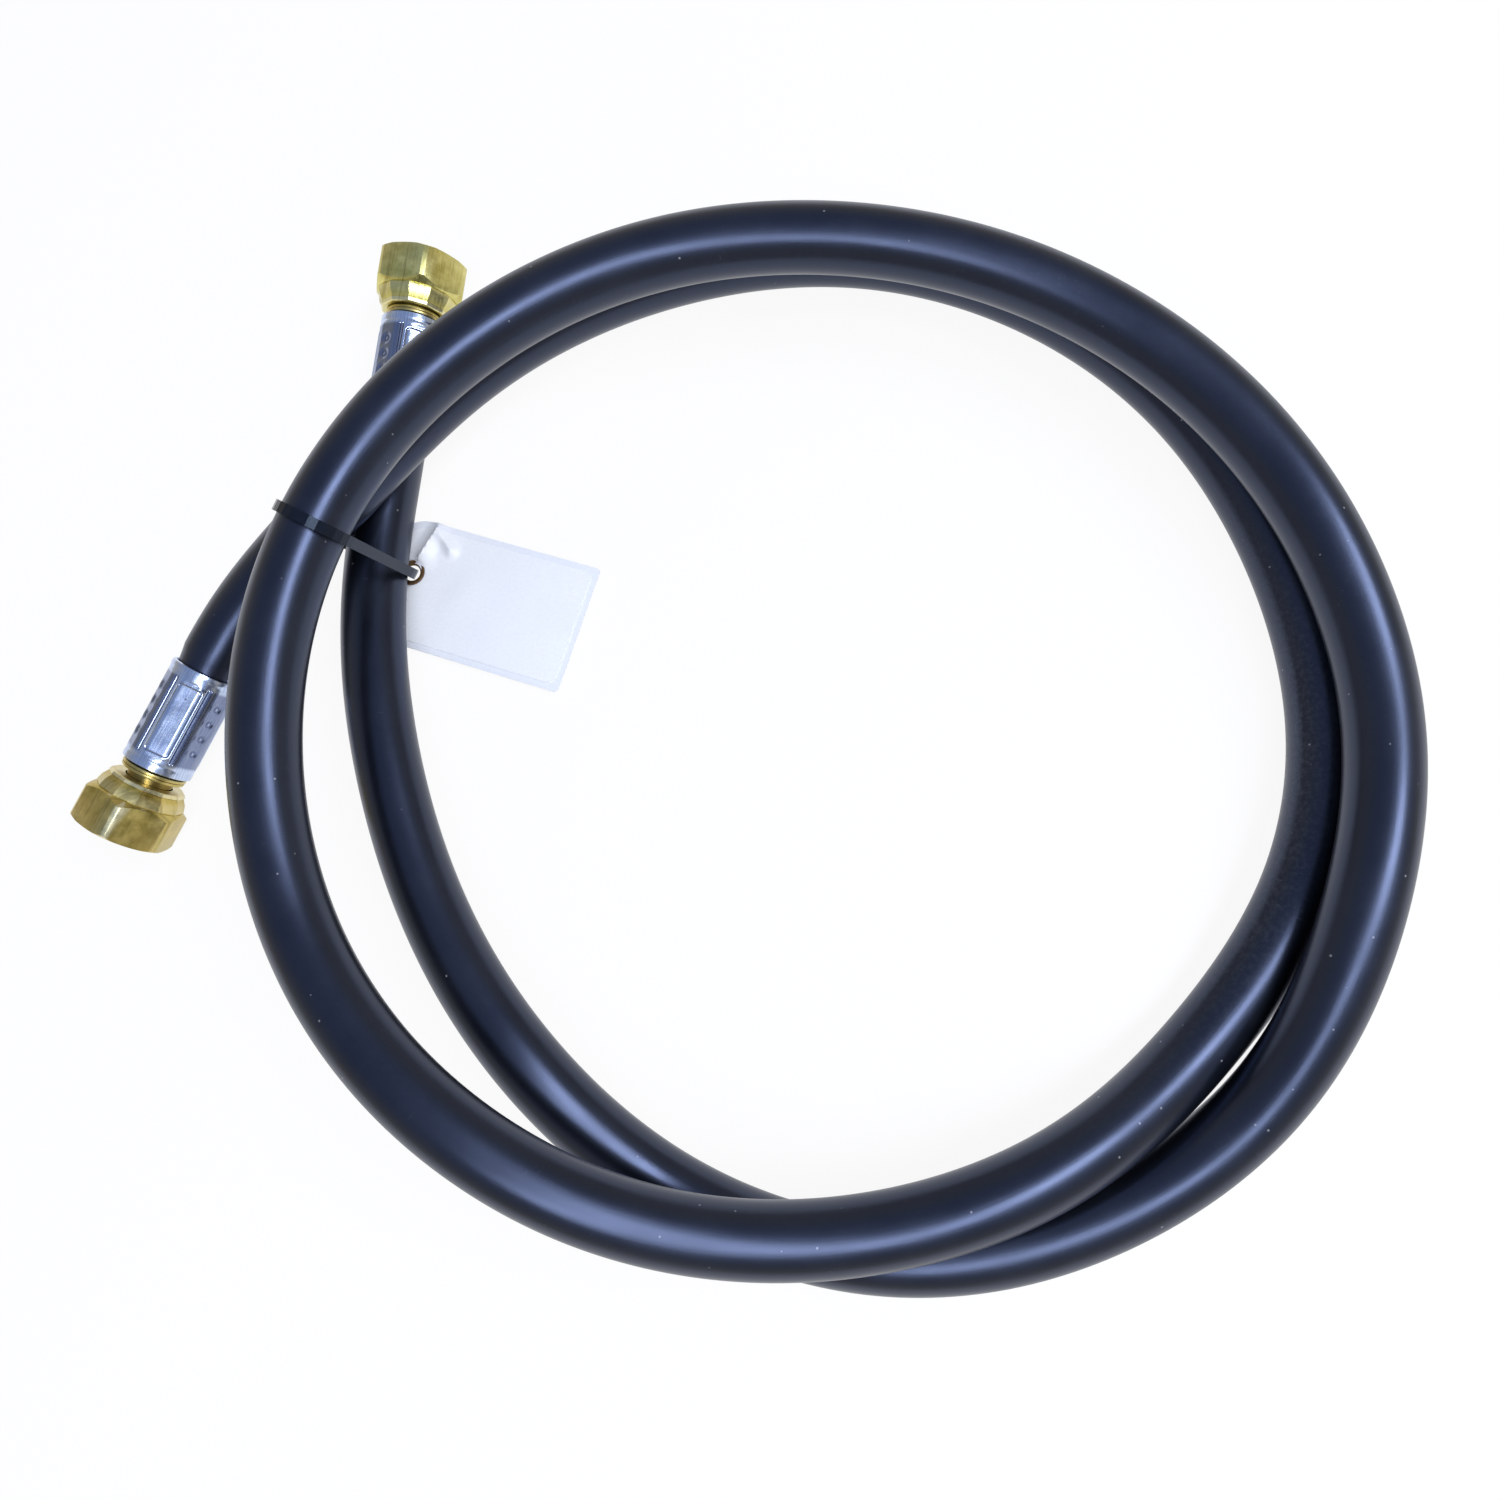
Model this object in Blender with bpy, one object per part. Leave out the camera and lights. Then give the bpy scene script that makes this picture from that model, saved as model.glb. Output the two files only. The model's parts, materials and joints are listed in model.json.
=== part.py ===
"""A rubber hose assembly, coiled in two turns and tied.

The hose has three layers: cover, braid and liner. Each end carries a barbed stem with a cone
nose, a crimped ferrule round the hose, and a hexagonal swivel nut that turns freely on the stem.
A cable tie bundles three strands of the coil and carries a card tag.

Metres, +Z up. The origin is on the floor, below the middle of the part's box.
Each fitting has a frame of its own: +Z runs out of the hose, and 0 is the ferrule's hose end.
"""

from math import cos, pi, radians, sin

import bmesh
import bpy
import numpy as np
from mathutils import Matrix, Vector, geometry

# ---------------------------------------------------------------- driving dimensions

GAP = 0.0003  # clearance between pieces that touch on the real product

# hose layers, from the bore outwards
HOSE_BORE = 0.009
LINER_WALL = 0.0012
BRAID_THICKNESS = 0.0004
COVER_WALL = 0.0013
HOSE_BEVEL = 3  # bevel resolution of the layers
HOSE_SIDES = 2 * HOSE_BEVEL + 4
HOSE_POINTS = 62
HOSE_SQUEEZE = 0.92  # what the crimp leaves of the hose's outer radius inside the ferrule
SQUEEZE_LENGTH = 0.0025  # the stretch outside the ferrule where the hose narrows

# coil: one point each TURN_STEP round COIL_CENTRE, as (radius, height) in hose diameters
COIL_CENTRE = (0.03899, -0.00401)
FIRST_ANGLE = radians(157.5)
TURN_STEP = radians(22.5)
COIL = [
    (8.41, 0.68), (7.34, 0.99), (6.89, 1.06), (6.80, 1.17), (7.15, 0.57), (7.39, 0.58),
    (7.50, 0.51), (7.44, 0.76), (7.00, 1.57), (6.95, 1.49), (6.79, 1.66), (6.77, 1.76),
    (6.82, 1.98), (6.98, 2.28), (7.37, 2.50), (7.70, 2.82), (8.09, 2.87), (8.19, 2.83),
    (8.10, 2.64), (7.67, 2.64), (7.31, 2.03), (6.89, 1.49), (6.57, 1.17), (6.43, 0.53),
    (6.48, 0.62), (6.60, 0.51), (6.66, 0.61), (7.03, 0.53), (7.47, 0.52), (7.86, 0.66),
    (7.97, 1.16),
]
# the two tails that leave the coil, from end A and to end B, as (x, y, z) in hose diameters
TAIL_A = [(-5.107, 5.107, 0.72), (-5.257, 3.937, 0.66)]
TAIL_B = [(-3.687, 5.057, 1.87), (-5.587, 3.297, 1.67), (-7.397, 1.567, 1.16), (-7.837, 0.827, 1.08)]

# crimped ferrule
FERRULE_LENGTH = 0.0273
FERRULE_WALL = 0.0009
FERRULE_LIP = 0.0017  # front lip that closes into the stem's groove
SHOULDER_LENGTH = 0.0014  # stem shoulder between the hose's end and the ferrule's front lip
CRIMP_FLATS = 8
CRIMP_DEPTH = 0.0004
CRIMP_START = 0.0036
CRIMP_END = 0.0038  # round stretch left at the front
PANEL_INSET = 0.0017  # border of the sunk panel on each flat
PANEL_DEPTH = 0.0002
PANEL_SHARE = 0.55  # part of a flat's width that its panel takes

# stem
STEM_BORE = 0.0052
STEM_TAIL_INSET = 0.004
BARB_COUNT = 4
BARB_DEPTH = 0.0005
GROOVE_RADIUS = 0.0058
COLLAR_LENGTH = 0.0017
COLLAR_RADIUS = 0.0077
NECK_RADIUS = 0.0055
HEAD_RADIUS = 0.007
HEAD_LENGTH = 0.0013
NOSE_LENGTH = 0.0031
NOSE_WALL = 0.0014
STEM_SIDES = 24

# swivel nut
NUT_FLATS = 0.0218  # across flats
NUT_CORNERS = 0.0245  # across the rounded corners
HEX_LENGTH = 0.0102
TAPER_LENGTH = 0.0047
TAPER_BACK_RADIUS = 0.009
TAPER_FRONT_RADIUS = 0.0106
TAPER_SIDES = 12
THREAD_RADIUS = 0.00745
THREAD_CHAMFER = 0.0008
MOUTH_CHAMFER = 0.0013
MOUTH_FACE_RADIUS = 0.0102
BACK_LIP = 0.002
NUT_CLEARANCE = 0.0003  # between the collar and a nut that is pushed back
NUT_PLAY = 0.0015  # how much further forward nut B lies
ROLL_A = radians(-3)
ROLL_B = radians(10)
NUT_SIDES = 48

# cable tie: its plane passes TIE_POINT on the top strand
TIE_POINT = (-0.0835, 0.0393, 0.0459)
TIE_HEADING = radians(62.2)
TIE_LEAN = radians(6.6)
STRAP_WIDTH = 0.0026
STRAP_THICKNESS = 0.001
STRAP_BEND = 0.0009
STRAP_POINTS = 72
STRAP_SWING = 0.003  # from the card's edge to the strap's outer run, so that the card can turn
HEAD_SIZE = (0.0048, 0.0046, 0.0036)  # along the strap, across it, and out of the loop
HEAD_SEAT = 0.0002  # how far the head stands inside the strap
HEAD_HEIGHT = 0.0089  # of its middle above the floor, on the outer side

# card tag, threaded on the strap beside strand A
TAG_LENGTH = 0.058
TAG_ABOVE = 0.0149  # from the hole to the two long edges
TAG_BELOW = 0.0196
TAG_THICKNESS = 0.0004
TAG_CORNER = 0.0012
TAG_CUT_CORNER = 0.0073  # the rounded corner near the hole
TAG_HOLE_RADIUS = 0.0026
TAG_HOLE_INSET = 0.0084
TAG_SIDE = 0.0051  # from strand A's middle to the hole
TAG_HEADING = radians(-18.3)
LABEL_THICKNESS = 0.00015
LABEL_GLUE = 0.0001
LABEL_MARGIN = 0.0017
LABEL_CORNER = 0.0025
LABEL_HOLE_MARGIN = 0.0037

# ---------------------------------------------------------------- derived dimensions

LINER_RADIUS = HOSE_BORE / 2 + LINER_WALL
BRAID_RADIUS = LINER_RADIUS + GAP + BRAID_THICKNESS
HOSE_RADIUS = BRAID_RADIUS + GAP + COVER_WALL
HOSE_DIAMETER = 2 * HOSE_RADIUS
SQUEEZED_RADIUS = HOSE_SQUEEZE * HOSE_RADIUS
FERRULE_BORE = SQUEEZED_RADIUS + GAP
# how far the hose reaches into the ferrule
HOSE_INSERTION = FERRULE_LENGTH - FERRULE_LIP - SHOULDER_LENGTH - 2 * GAP
BUNDLE_REACH = 7.5 * HOSE_RADIUS  # strands further than this from TIE_POINT are outside the bundle
FERRULE_RADIUS = FERRULE_BORE + FERRULE_WALL
BARB_RADIUS = (HOSE_SQUEEZE * LINER_RADIUS - LINER_WALL) * cos(pi / HOSE_SIDES) - GAP
COLLAR_BACK = FERRULE_LENGTH + GAP
COLLAR_FRONT = COLLAR_BACK + COLLAR_LENGTH
NUT_LENGTH = TAPER_LENGTH + HEX_LENGTH
NUT_BACK_A = COLLAR_FRONT + NUT_CLEARANCE
NUT_BACK_B = NUT_BACK_A + NUT_PLAY
HEAD_BACK = NUT_BACK_B + BACK_LIP + GAP
STRAP_REST = STRAP_WIDTH / 2 * sin(TIE_LEAN)  # lifts the leaning strap's lower edge to the floor
TAG_HEIGHT = 2 * STRAP_REST + STRAP_THICKNESS + GAP
LABEL_HEIGHT = TAG_HEIGHT + TAG_THICKNESS + LABEL_GLUE


def material(name, colour, roughness, metallic=0.0):
    made = bpy.data.materials.new(name)
    made.use_nodes = True
    shader = made.node_tree.nodes["Principled BSDF"]
    shader.inputs["Base Color"].default_value = (*colour, 1)
    shader.inputs["Roughness"].default_value = roughness
    shader.inputs["Metallic"].default_value = metallic
    return made


def add_object(name, mesh, finish, parent=None, sharp=radians(30)):
    mesh.shade_smooth()
    mesh.set_sharp_from_angle(angle=sharp)
    mesh.materials.clear()
    mesh.materials.append(finish)
    made = bpy.data.objects.new(name, mesh)
    made.parent = parent
    bpy.context.scene.collection.objects.link(made)
    return made


def mesh_from(name, shape):
    bmesh.ops.recalc_face_normals(shape, faces=shape.faces[:])
    mesh = bpy.data.meshes.new(name)
    shape.to_mesh(mesh)
    shape.free()
    return mesh


# ---------------------------------------------------------------- hose


def coil_route():
    """The route's own points, from end A to end B."""
    centre = Vector((*COIL_CENTRE, 0))
    points = [Vector(point) * HOSE_DIAMETER for point in TAIL_A]
    for index, (radius, height) in enumerate(COIL):
        angle = FIRST_ANGLE + index * TURN_STEP
        ring = Vector((radius * cos(angle), radius * sin(angle), height))
        points.append(centre + ring * HOSE_DIAMETER)
    points += [Vector(point) * HOSE_DIAMETER for point in TAIL_B]
    return np.array([tuple(point) for point in points])


def smooth_curve(points, count):
    """A natural cubic spline through the points, as count points at equal spacing."""
    spans = np.linalg.norm(np.diff(points, axis=0), axis=1)
    knots = np.concatenate([[0], np.cumsum(spans)])
    size = len(points)
    system = np.eye(size)
    change = np.zeros_like(points)
    for row in range(1, size - 1):
        before, after = spans[row - 1], spans[row]
        system[row, row - 1 : row + 2] = before, 2 * (before + after), after
        rise = (points[row + 1] - points[row]) / after
        run = (points[row] - points[row - 1]) / before
        change[row] = 6 * (rise - run)
    bend = np.linalg.solve(system, change)

    def at(places):
        span = np.clip(np.searchsorted(knots, places) - 1, 0, size - 2)
        width = spans[span][:, None]
        left = (places - knots[span])[:, None]
        right = width - left
        cubic = (bend[span] * right**3 + bend[span + 1] * left**3) / (6 * width)
        start = (points[span] / width - bend[span] * width / 6) * right
        end = (points[span + 1] / width - bend[span + 1] * width / 6) * left
        return cubic + start + end

    fine = at(np.linspace(0, knots[-1], 40 * count))
    lengths = np.concatenate([[0], np.cumsum(np.linalg.norm(np.diff(fine, axis=0), axis=1))])
    even = np.linspace(0, lengths[-1], count)
    return np.stack([np.interp(even, lengths, fine[:, axis]) for axis in range(3)], 1)


def unit(vector):
    return Vector(vector).normalized()


def hose_layer(name, radius, wall, points, finish):
    curve = bpy.data.curves.new(name, "CURVE")
    curve.dimensions = "3D"
    curve.bevel_depth = radius
    curve.bevel_resolution = HOSE_BEVEL
    curve.use_fill_caps = False
    spline = curve.splines.new("POLY")
    spline.points.add(len(points) - 1)
    for place, point in zip(spline.points, points):
        place.co = (*point, 1)
        place.radius = 1
    for index in (0, 1, -2, -1):
        spline.points[index].radius = HOSE_SQUEEZE
    spline.use_smooth = True
    curve.materials.append(finish)
    layer = bpy.data.objects.new(name, curve)
    bpy.context.scene.collection.objects.link(layer)
    shell = layer.modifiers.new("wall", "SOLIDIFY")
    shell.thickness = wall
    shell.offset = -1
    return layer


# ---------------------------------------------------------------- turned and crimped pieces


def ring_solid(name, stations):
    """A hollow solid from a closed loop of rings. Each ring is a list of points."""
    shape = bmesh.new()
    rings = [[shape.verts.new(point) for point in ring] for ring in stations]
    for ring, following in zip(rings, rings[1:] + rings[:1]):
        for index in range(len(ring)):
            onward = (index + 1) % len(ring)
            shape.faces.new((ring[index], ring[onward], following[onward], following[index]))
    return mesh_from(name, shape)


def circle(radius, height, sides):
    angles = [2 * pi * side / sides for side in range(sides)]
    return [(radius * cos(angle), radius * sin(angle), height) for angle in angles]


def turned(name, profile, sides):
    """A turned hollow piece from a closed profile of (height, radius)."""
    return ring_solid(name, [circle(radius, height, sides) for height, radius in profile])


def crimped_ring(height, radius, flats=0.0, panels=0.0):
    """A ring cut by the crimp's flats, each with a sunk panel in its middle."""
    width = 2 * pi / CRIMP_FLATS
    inner = PANEL_SHARE / 2
    edges = [-0.5, -inner - 0.05, -inner, 0, inner, inner + 0.05]
    ring = []
    for flat in range(CRIMP_FLATS):
        for edge in edges:
            sunk = panels if abs(edge) <= inner else 0
            reach = radius
            if flats:
                reach = min(radius, (radius - flats - sunk) / cos(edge * width))
            angle = (flat + edge) * width
            ring.append((reach * cos(angle), reach * sin(angle), height))
    return ring


def ferrule_mesh():
    """Crimped sleeve: rolled lip at the hose end, flats with panels, lip in the stem's groove."""
    outer = FERRULE_RADIUS
    front = FERRULE_LENGTH
    crimp_front = front - CRIMP_END
    edge = 0.0006
    step = 0.0004
    lip = GROOVE_RADIUS + GAP
    panel_start = CRIMP_START + PANEL_INSET
    panel_end = crimp_front - PANEL_INSET
    rings = [
        crimped_ring(0, outer - edge),
        crimped_ring(edge, outer),
        crimped_ring(CRIMP_START - 2 * edge, outer),
        crimped_ring(CRIMP_START, outer, CRIMP_DEPTH),
        crimped_ring(panel_start, outer, CRIMP_DEPTH),
        crimped_ring(panel_start + step, outer, CRIMP_DEPTH, PANEL_DEPTH),
        crimped_ring(panel_end - step, outer, CRIMP_DEPTH, PANEL_DEPTH),
        crimped_ring(panel_end, outer, CRIMP_DEPTH),
        crimped_ring(crimp_front, outer, CRIMP_DEPTH),
        crimped_ring(crimp_front + edge, outer - CRIMP_DEPTH),
        crimped_ring(front - edge, outer - CRIMP_DEPTH),
        crimped_ring(front, outer - CRIMP_DEPTH - edge),
        crimped_ring(front, lip),
        crimped_ring(front - FERRULE_LIP, lip),
        crimped_ring(front - FERRULE_LIP, FERRULE_BORE),
        crimped_ring(0, FERRULE_BORE),
    ]
    return ring_solid("ferrule", rings)


def stem_mesh():
    """Barbed tail, shoulder and groove inside the ferrule, then collar, neck, head and nose."""
    shoulder_front = FERRULE_LENGTH - FERRULE_LIP - GAP
    shoulder_back = HOSE_INSERTION + GAP
    barb_pitch = (HOSE_INSERTION - STEM_TAIL_INSET - 0.002) / BARB_COUNT
    profile = []
    for barb in range(BARB_COUNT):
        start = STEM_TAIL_INSET + barb * barb_pitch
        profile += [(start, BARB_RADIUS - BARB_DEPTH), (start + 0.8 * barb_pitch, BARB_RADIUS)]
    head_front = HEAD_BACK + HEAD_LENGTH
    nose_front = head_front + NOSE_LENGTH
    profile += [
        (HOSE_INSERTION - 0.002, BARB_RADIUS - BARB_DEPTH),
        (shoulder_back, BARB_RADIUS - BARB_DEPTH),
        (shoulder_back, SQUEEZED_RADIUS),
        (shoulder_front, SQUEEZED_RADIUS),
        (shoulder_front, GROOVE_RADIUS),
        (COLLAR_BACK, GROOVE_RADIUS),
        (COLLAR_BACK, COLLAR_RADIUS),
        (COLLAR_FRONT, COLLAR_RADIUS),
        (COLLAR_FRONT, NECK_RADIUS),
        (HEAD_BACK, NECK_RADIUS),
        (HEAD_BACK, HEAD_RADIUS),
        (head_front, HEAD_RADIUS),
        (nose_front, STEM_BORE / 2 + NOSE_WALL),
        (nose_front, STEM_BORE / 2),
        (STEM_TAIL_INSET, STEM_BORE / 2),
    ]
    return turned("stem", profile, STEM_SIDES)


# ---------------------------------------------------------------- swivel nut


def prism(name, radius_back, radius_front, back, front, sides, turn=0.0):
    shape = bmesh.new()
    bmesh.ops.create_cone(
        shape,
        cap_ends=True,
        segments=sides,
        radius1=radius_back,
        radius2=radius_front,
        depth=front - back,
        matrix=Matrix.Translation((0, 0, (back + front) / 2)) @ Matrix.Rotation(turn, 4, "Z"),
    )
    return mesh_from(name, shape)


def revolved(name, profile, sides):
    """A solid of revolution from a profile of (height, radius), closed by a cap at each end."""
    shape = bmesh.new()
    rings = [
        [shape.verts.new(point) for point in circle(radius, height, sides)]
        for height, radius in profile
    ]
    for ring, following in zip(rings, rings[1:]):
        for index in range(sides):
            onward = (index + 1) % sides
            shape.faces.new((ring[index], ring[onward], following[onward], following[index]))
    shape.faces.new(rings[0])
    shape.faces.new(rings[-1])
    return mesh_from(name, shape)


def nut_mesh():
    """A chamfered hexagon with a crimped, tapered back, bored for its thread and the stem."""
    mouth = NUT_LENGTH
    beyond = 0.001
    overlap = 0.0012
    hex_back = TAPER_LENGTH
    corner = NUT_CORNERS / 2
    full = NUT_FLATS / 2 / cos(pi / 6)
    hexagon = prism("hexagon", full, full, hex_back, mouth + beyond, 6)
    envelope = revolved(
        "envelope",
        [
            (hex_back - beyond, NUT_FLATS / 2 - 0.0012),
            (hex_back + 0.0001, NUT_FLATS / 2 - 0.0002),
            (hex_back + MOUTH_CHAMFER, corner),
            (mouth - MOUTH_CHAMFER, corner),
            (mouth, MOUTH_FACE_RADIUS),
        ],
        NUT_SIDES,
    )
    taper = prism(
        "taper", TAPER_BACK_RADIUS, TAPER_FRONT_RADIUS, 0, hex_back + overlap, TAPER_SIDES,
        pi / TAPER_SIDES,
    )
    bore = revolved(
        "bore",
        [
            (-beyond, NECK_RADIUS + GAP),
            (BACK_LIP, NECK_RADIUS + GAP),
            (BACK_LIP, THREAD_RADIUS),
            (mouth - THREAD_CHAMFER, THREAD_RADIUS),
            (mouth + beyond, THREAD_RADIUS + THREAD_CHAMFER + beyond),
        ],
        NUT_SIDES * 2 // 3,
    )
    body = add_object("nut_blank", hexagon, BRASS)
    steps = [("INTERSECT", envelope), ("UNION", taper), ("DIFFERENCE", bore)]
    tools = []
    for operation, mesh in steps:
        tool = add_object("tool_" + mesh.name, mesh, BRASS)
        cut = body.modifiers.new(mesh.name, "BOOLEAN")
        cut.operation = operation
        cut.object = tool
        tools.append(tool)
    graph = bpy.context.evaluated_depsgraph_get()
    made = bpy.data.meshes.new_from_object(body.evaluated_get(graph))
    for spare in [body, *tools]:
        bpy.data.objects.remove(spare)
    return made


# ---------------------------------------------------------------- tie and tag


class TiePlane:
    """The plane that the strap lies in: right and up span it, and along is its normal."""

    def __init__(self):
        flat = Vector((cos(TIE_HEADING), sin(TIE_HEADING), 0))
        self.origin = Vector(TIE_POINT)
        self.along = (flat * cos(TIE_LEAN) + Vector((0, 0, sin(TIE_LEAN)))).normalized()
        self.right = Vector((flat.y, -flat.x, 0))
        self.up = self.right.cross(self.along)

    def place(self, across, up, along=0.0):
        return self.origin + self.right * across + self.up * up + self.along * along

    def flat(self, point):
        reach = point - self.origin
        return Vector((reach.dot(self.right), reach.dot(self.up)))

    def level(self, height):
        """How far up the plane a height above the floor lies."""
        return (height - self.origin.z) / self.up.z


def strands_at(plane, route):
    """(centre, direction) of each strand where it passes the plane near its origin."""
    found = []
    for start, end in zip(route, route[1:]):
        start, end = Vector(start), Vector(end)
        before = (start - plane.origin).dot(plane.along)
        after = (end - plane.origin).dot(plane.along)
        if before * after > 0 or (start - plane.origin).length > BUNDLE_REACH:
            continue
        centre = start.lerp(end, before / (before - after))
        found.append((centre, (end - start).normalized()))
    return sorted(found, key=lambda strand: strand[0].z)


def strand_outline(plane, centre, direction, radius, aside):
    """The tube's section by the plane moved aside along its normal."""
    side = direction.orthogonal().normalized()
    other = direction.cross(side)
    outline = []
    for step in range(48):
        angle = 2 * pi * step / 48
        point = centre + radius * (side * cos(angle) + other * sin(angle))
        slide = ((point - plane.origin).dot(plane.along) - aside) / direction.dot(plane.along)
        outline.append(plane.flat(point - direction * slide))
    return outline


def strap_loop(plane, strands, hole):
    """Inner outline of the strap: pulled round the strands and down through the tag's hole."""
    points = []
    for centre, direction in strands:
        for aside in (-STRAP_WIDTH / 2, STRAP_WIDTH / 2):
            points += strand_outline(plane, centre, direction, HOSE_RADIUS + GAP, aside)
    inner = plane.level(STRAP_REST + STRAP_THICKNESS) + STRAP_BEND
    left = hole.x - TAG_HOLE_INSET - STRAP_SWING
    right = hole.x - STRAP_THICKNESS - STRAP_BEND
    for corner in (left, right):
        for step in range(16):
            angle = 2 * pi * step / 16
            points.append(Vector((corner + STRAP_BEND * cos(angle), inner + STRAP_BEND * sin(angle))))
    hull = [points[index] for index in geometry.convex_hull_2d(points)]
    ring = np.array([tuple(point) for point in hull + hull[:1]])
    lengths = np.concatenate([[0], np.cumsum(np.linalg.norm(np.diff(ring, axis=0), axis=1))])
    even = np.linspace(0, lengths[-1], STRAP_POINTS + 1)[:-1]
    return np.stack([np.interp(even, lengths, ring[:, axis]) for axis in range(2)], 1)


def strap_mesh(plane, loop):
    """The loop given its thickness outwards and its width along the plane's normal."""
    tangent = np.roll(loop, -1, axis=0) - np.roll(loop, 1, axis=0)
    tangent /= np.linalg.norm(tangent, axis=1)[:, None]
    outward = np.stack([tangent[:, 1], -tangent[:, 0]], 1)
    area = np.sum(loop[:, 0] * np.roll(loop[:, 1], -1) - loop[:, 1] * np.roll(loop[:, 0], -1))
    if area < 0:
        outward = -outward
    outer = loop + outward * STRAP_THICKNESS
    half = STRAP_WIDTH / 2
    corners = [(loop, -half), (outer, -half), (outer, half), (loop, half)]
    rings = [[plane.place(*point, side) for point in outline] for outline, side in corners]
    return ring_solid("strap", rings), outward


def tie_head(plane, loop, outward):
    """The lock of the tie, on the outer side of the bundle: a rounded block round the strap."""
    outer = [index for index, point in enumerate(loop) if point[0] < loop[:, 0].mean()]
    index = min(outer, key=lambda item: abs(loop[item][1] - plane.level(HEAD_HEIGHT)))
    length, width, height = HEAD_SIZE
    out = plane.right * outward[index][0] + plane.up * outward[index][1]
    run = out.cross(plane.along)
    place = plane.place(*loop[index]) + out * (height / 2 - HEAD_SEAT)
    shape = bmesh.new()
    bmesh.ops.create_cube(shape, size=1)
    axes = Matrix((run * length, plane.along * width, out * height)).transposed().to_4x4()
    shape.transform(Matrix.Translation(place) @ axes)
    bmesh.ops.bevel(shape, geom=shape.edges[:], offset=0.0004, segments=1, affect="EDGES")
    return mesh_from("tie_head", shape)


def rounded_outline(left, right, low, high, corners, steps=5):
    """A rectangle with its own radius at each corner, from the lower left round to the left."""
    turns = [(left, low, 1, 1, pi), (right, low, -1, 1, 1.5 * pi)]
    turns += [(right, high, -1, -1, 0), (left, high, 1, -1, 0.5 * pi)]
    outline = []
    for (x, y, side, up, start), radius in zip(turns, corners):
        for step in range(steps + 1):
            angle = start + pi / 2 * step / steps
            outline.append(
                (x + side * radius + radius * cos(angle), y + up * radius + radius * sin(angle))
            )
    return outline


def plate_mesh(name, outline, thickness):
    shape = bmesh.new()
    face = shape.faces.new([shape.verts.new((x, y, 0)) for x, y in outline])
    grown = bmesh.ops.extrude_face_region(shape, geom=[face])["geom"]
    top = [item for item in grown if isinstance(item, bmesh.types.BMVert)]
    bmesh.ops.translate(shape, verts=top, vec=(0, 0, thickness))
    return mesh_from(name, shape)


def cut_hole(plate, radius, name):
    """A round hole at the plate's own origin."""
    cutter = add_object(name, prism(name, radius, radius, -0.002, 0.002, 24), PAPER, plate)
    cutter.hide_render = True
    cutter.display_type = "WIRE"
    cut = plate.modifiers.new("hole", "BOOLEAN")
    cut.operation = "DIFFERENCE"
    cut.object = cutter


# ---------------------------------------------------------------- assembly

for spare in list(bpy.data.objects):
    bpy.data.objects.remove(spare)

RUBBER = material("rubber", (0.012, 0.012, 0.016), 0.42)
TEXTILE = material("textile", (0.55, 0.53, 0.47), 0.9)
LINER = material("liner", (0.02, 0.02, 0.02), 0.6)
ZINC = material("zinc", (0.62, 0.65, 0.72), 0.25, 1.0)
BRASS = material("brass", (0.62, 0.48, 0.16), 0.3, 1.0)
NYLON = material("nylon", (0.008, 0.008, 0.01), 0.35)
PAPER = material("paper", (0.72, 0.75, 0.84), 0.6)
LABEL = material("label", (0.82, 0.85, 0.93), 0.5)

route = smooth_curve(coil_route(), HOSE_POINTS)
fine = smooth_curve(coil_route(), 20 * HOSE_POINTS)
ends = {"a": (route[0], unit(fine[0] - fine[1])), "b": (route[-1], unit(fine[-1] - fine[-2]))}
inside = {end: place + np.array(direction) * HOSE_INSERTION for end, (place, direction) in ends.items()}
necks = {end: place - np.array(direction) * SQUEEZE_LENGTH for end, (place, direction) in ends.items()}
hose_points = np.vstack(
    [[inside["a"], route[0], necks["a"]], route[1:-1], [necks["b"], route[-1], inside["b"]]]
)
hose_layer("hose_cover", HOSE_RADIUS, COVER_WALL, hose_points, RUBBER)
hose_layer("hose_braid", BRAID_RADIUS, BRAID_THICKNESS, hose_points, TEXTILE)
hose_layer("hose_liner", LINER_RADIUS, LINER_WALL, hose_points, LINER)

ferrule = ferrule_mesh()
stem = stem_mesh()
nut = nut_mesh()
for end, nut_back, roll in (("a", NUT_BACK_A, ROLL_A), ("b", NUT_BACK_B, ROLL_B)):
    place, direction = ends[end]
    frame = bpy.data.objects.new("fitting_" + end, None)
    frame.location = place
    frame.rotation_euler = direction.to_track_quat("Z", "Y").to_euler()
    bpy.context.scene.collection.objects.link(frame)
    add_object("ferrule_" + end, ferrule, ZINC, frame)
    add_object("stem_" + end, stem, BRASS, frame)
    swivel = add_object("swivel_nut_" + end, nut, BRASS, frame, sharp=radians(20))
    swivel.location = (0, 0, nut_back)
    swivel.rotation_euler = (0, 0, roll)

tie_plane = TiePlane()
strands = strands_at(tie_plane, route)
strand_a = tie_plane.flat(strands[0][0])
hole_level = tie_plane.level(TAG_HEIGHT)
hole_in_plane = Vector((strand_a.x + TAG_SIDE, hole_level))
loop = strap_loop(tie_plane, strands, hole_in_plane)
strap, outward = strap_mesh(tie_plane, loop)
cable_tie = add_object("cable_tie", strap, NYLON)
head = add_object("tie_head_block", tie_head(tie_plane, loop, outward), NYLON)
head.hide_render = True
head.display_type = "WIRE"
join = cable_tie.modifiers.new("head", "BOOLEAN")
join.operation = "UNION"
join.object = head

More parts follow.
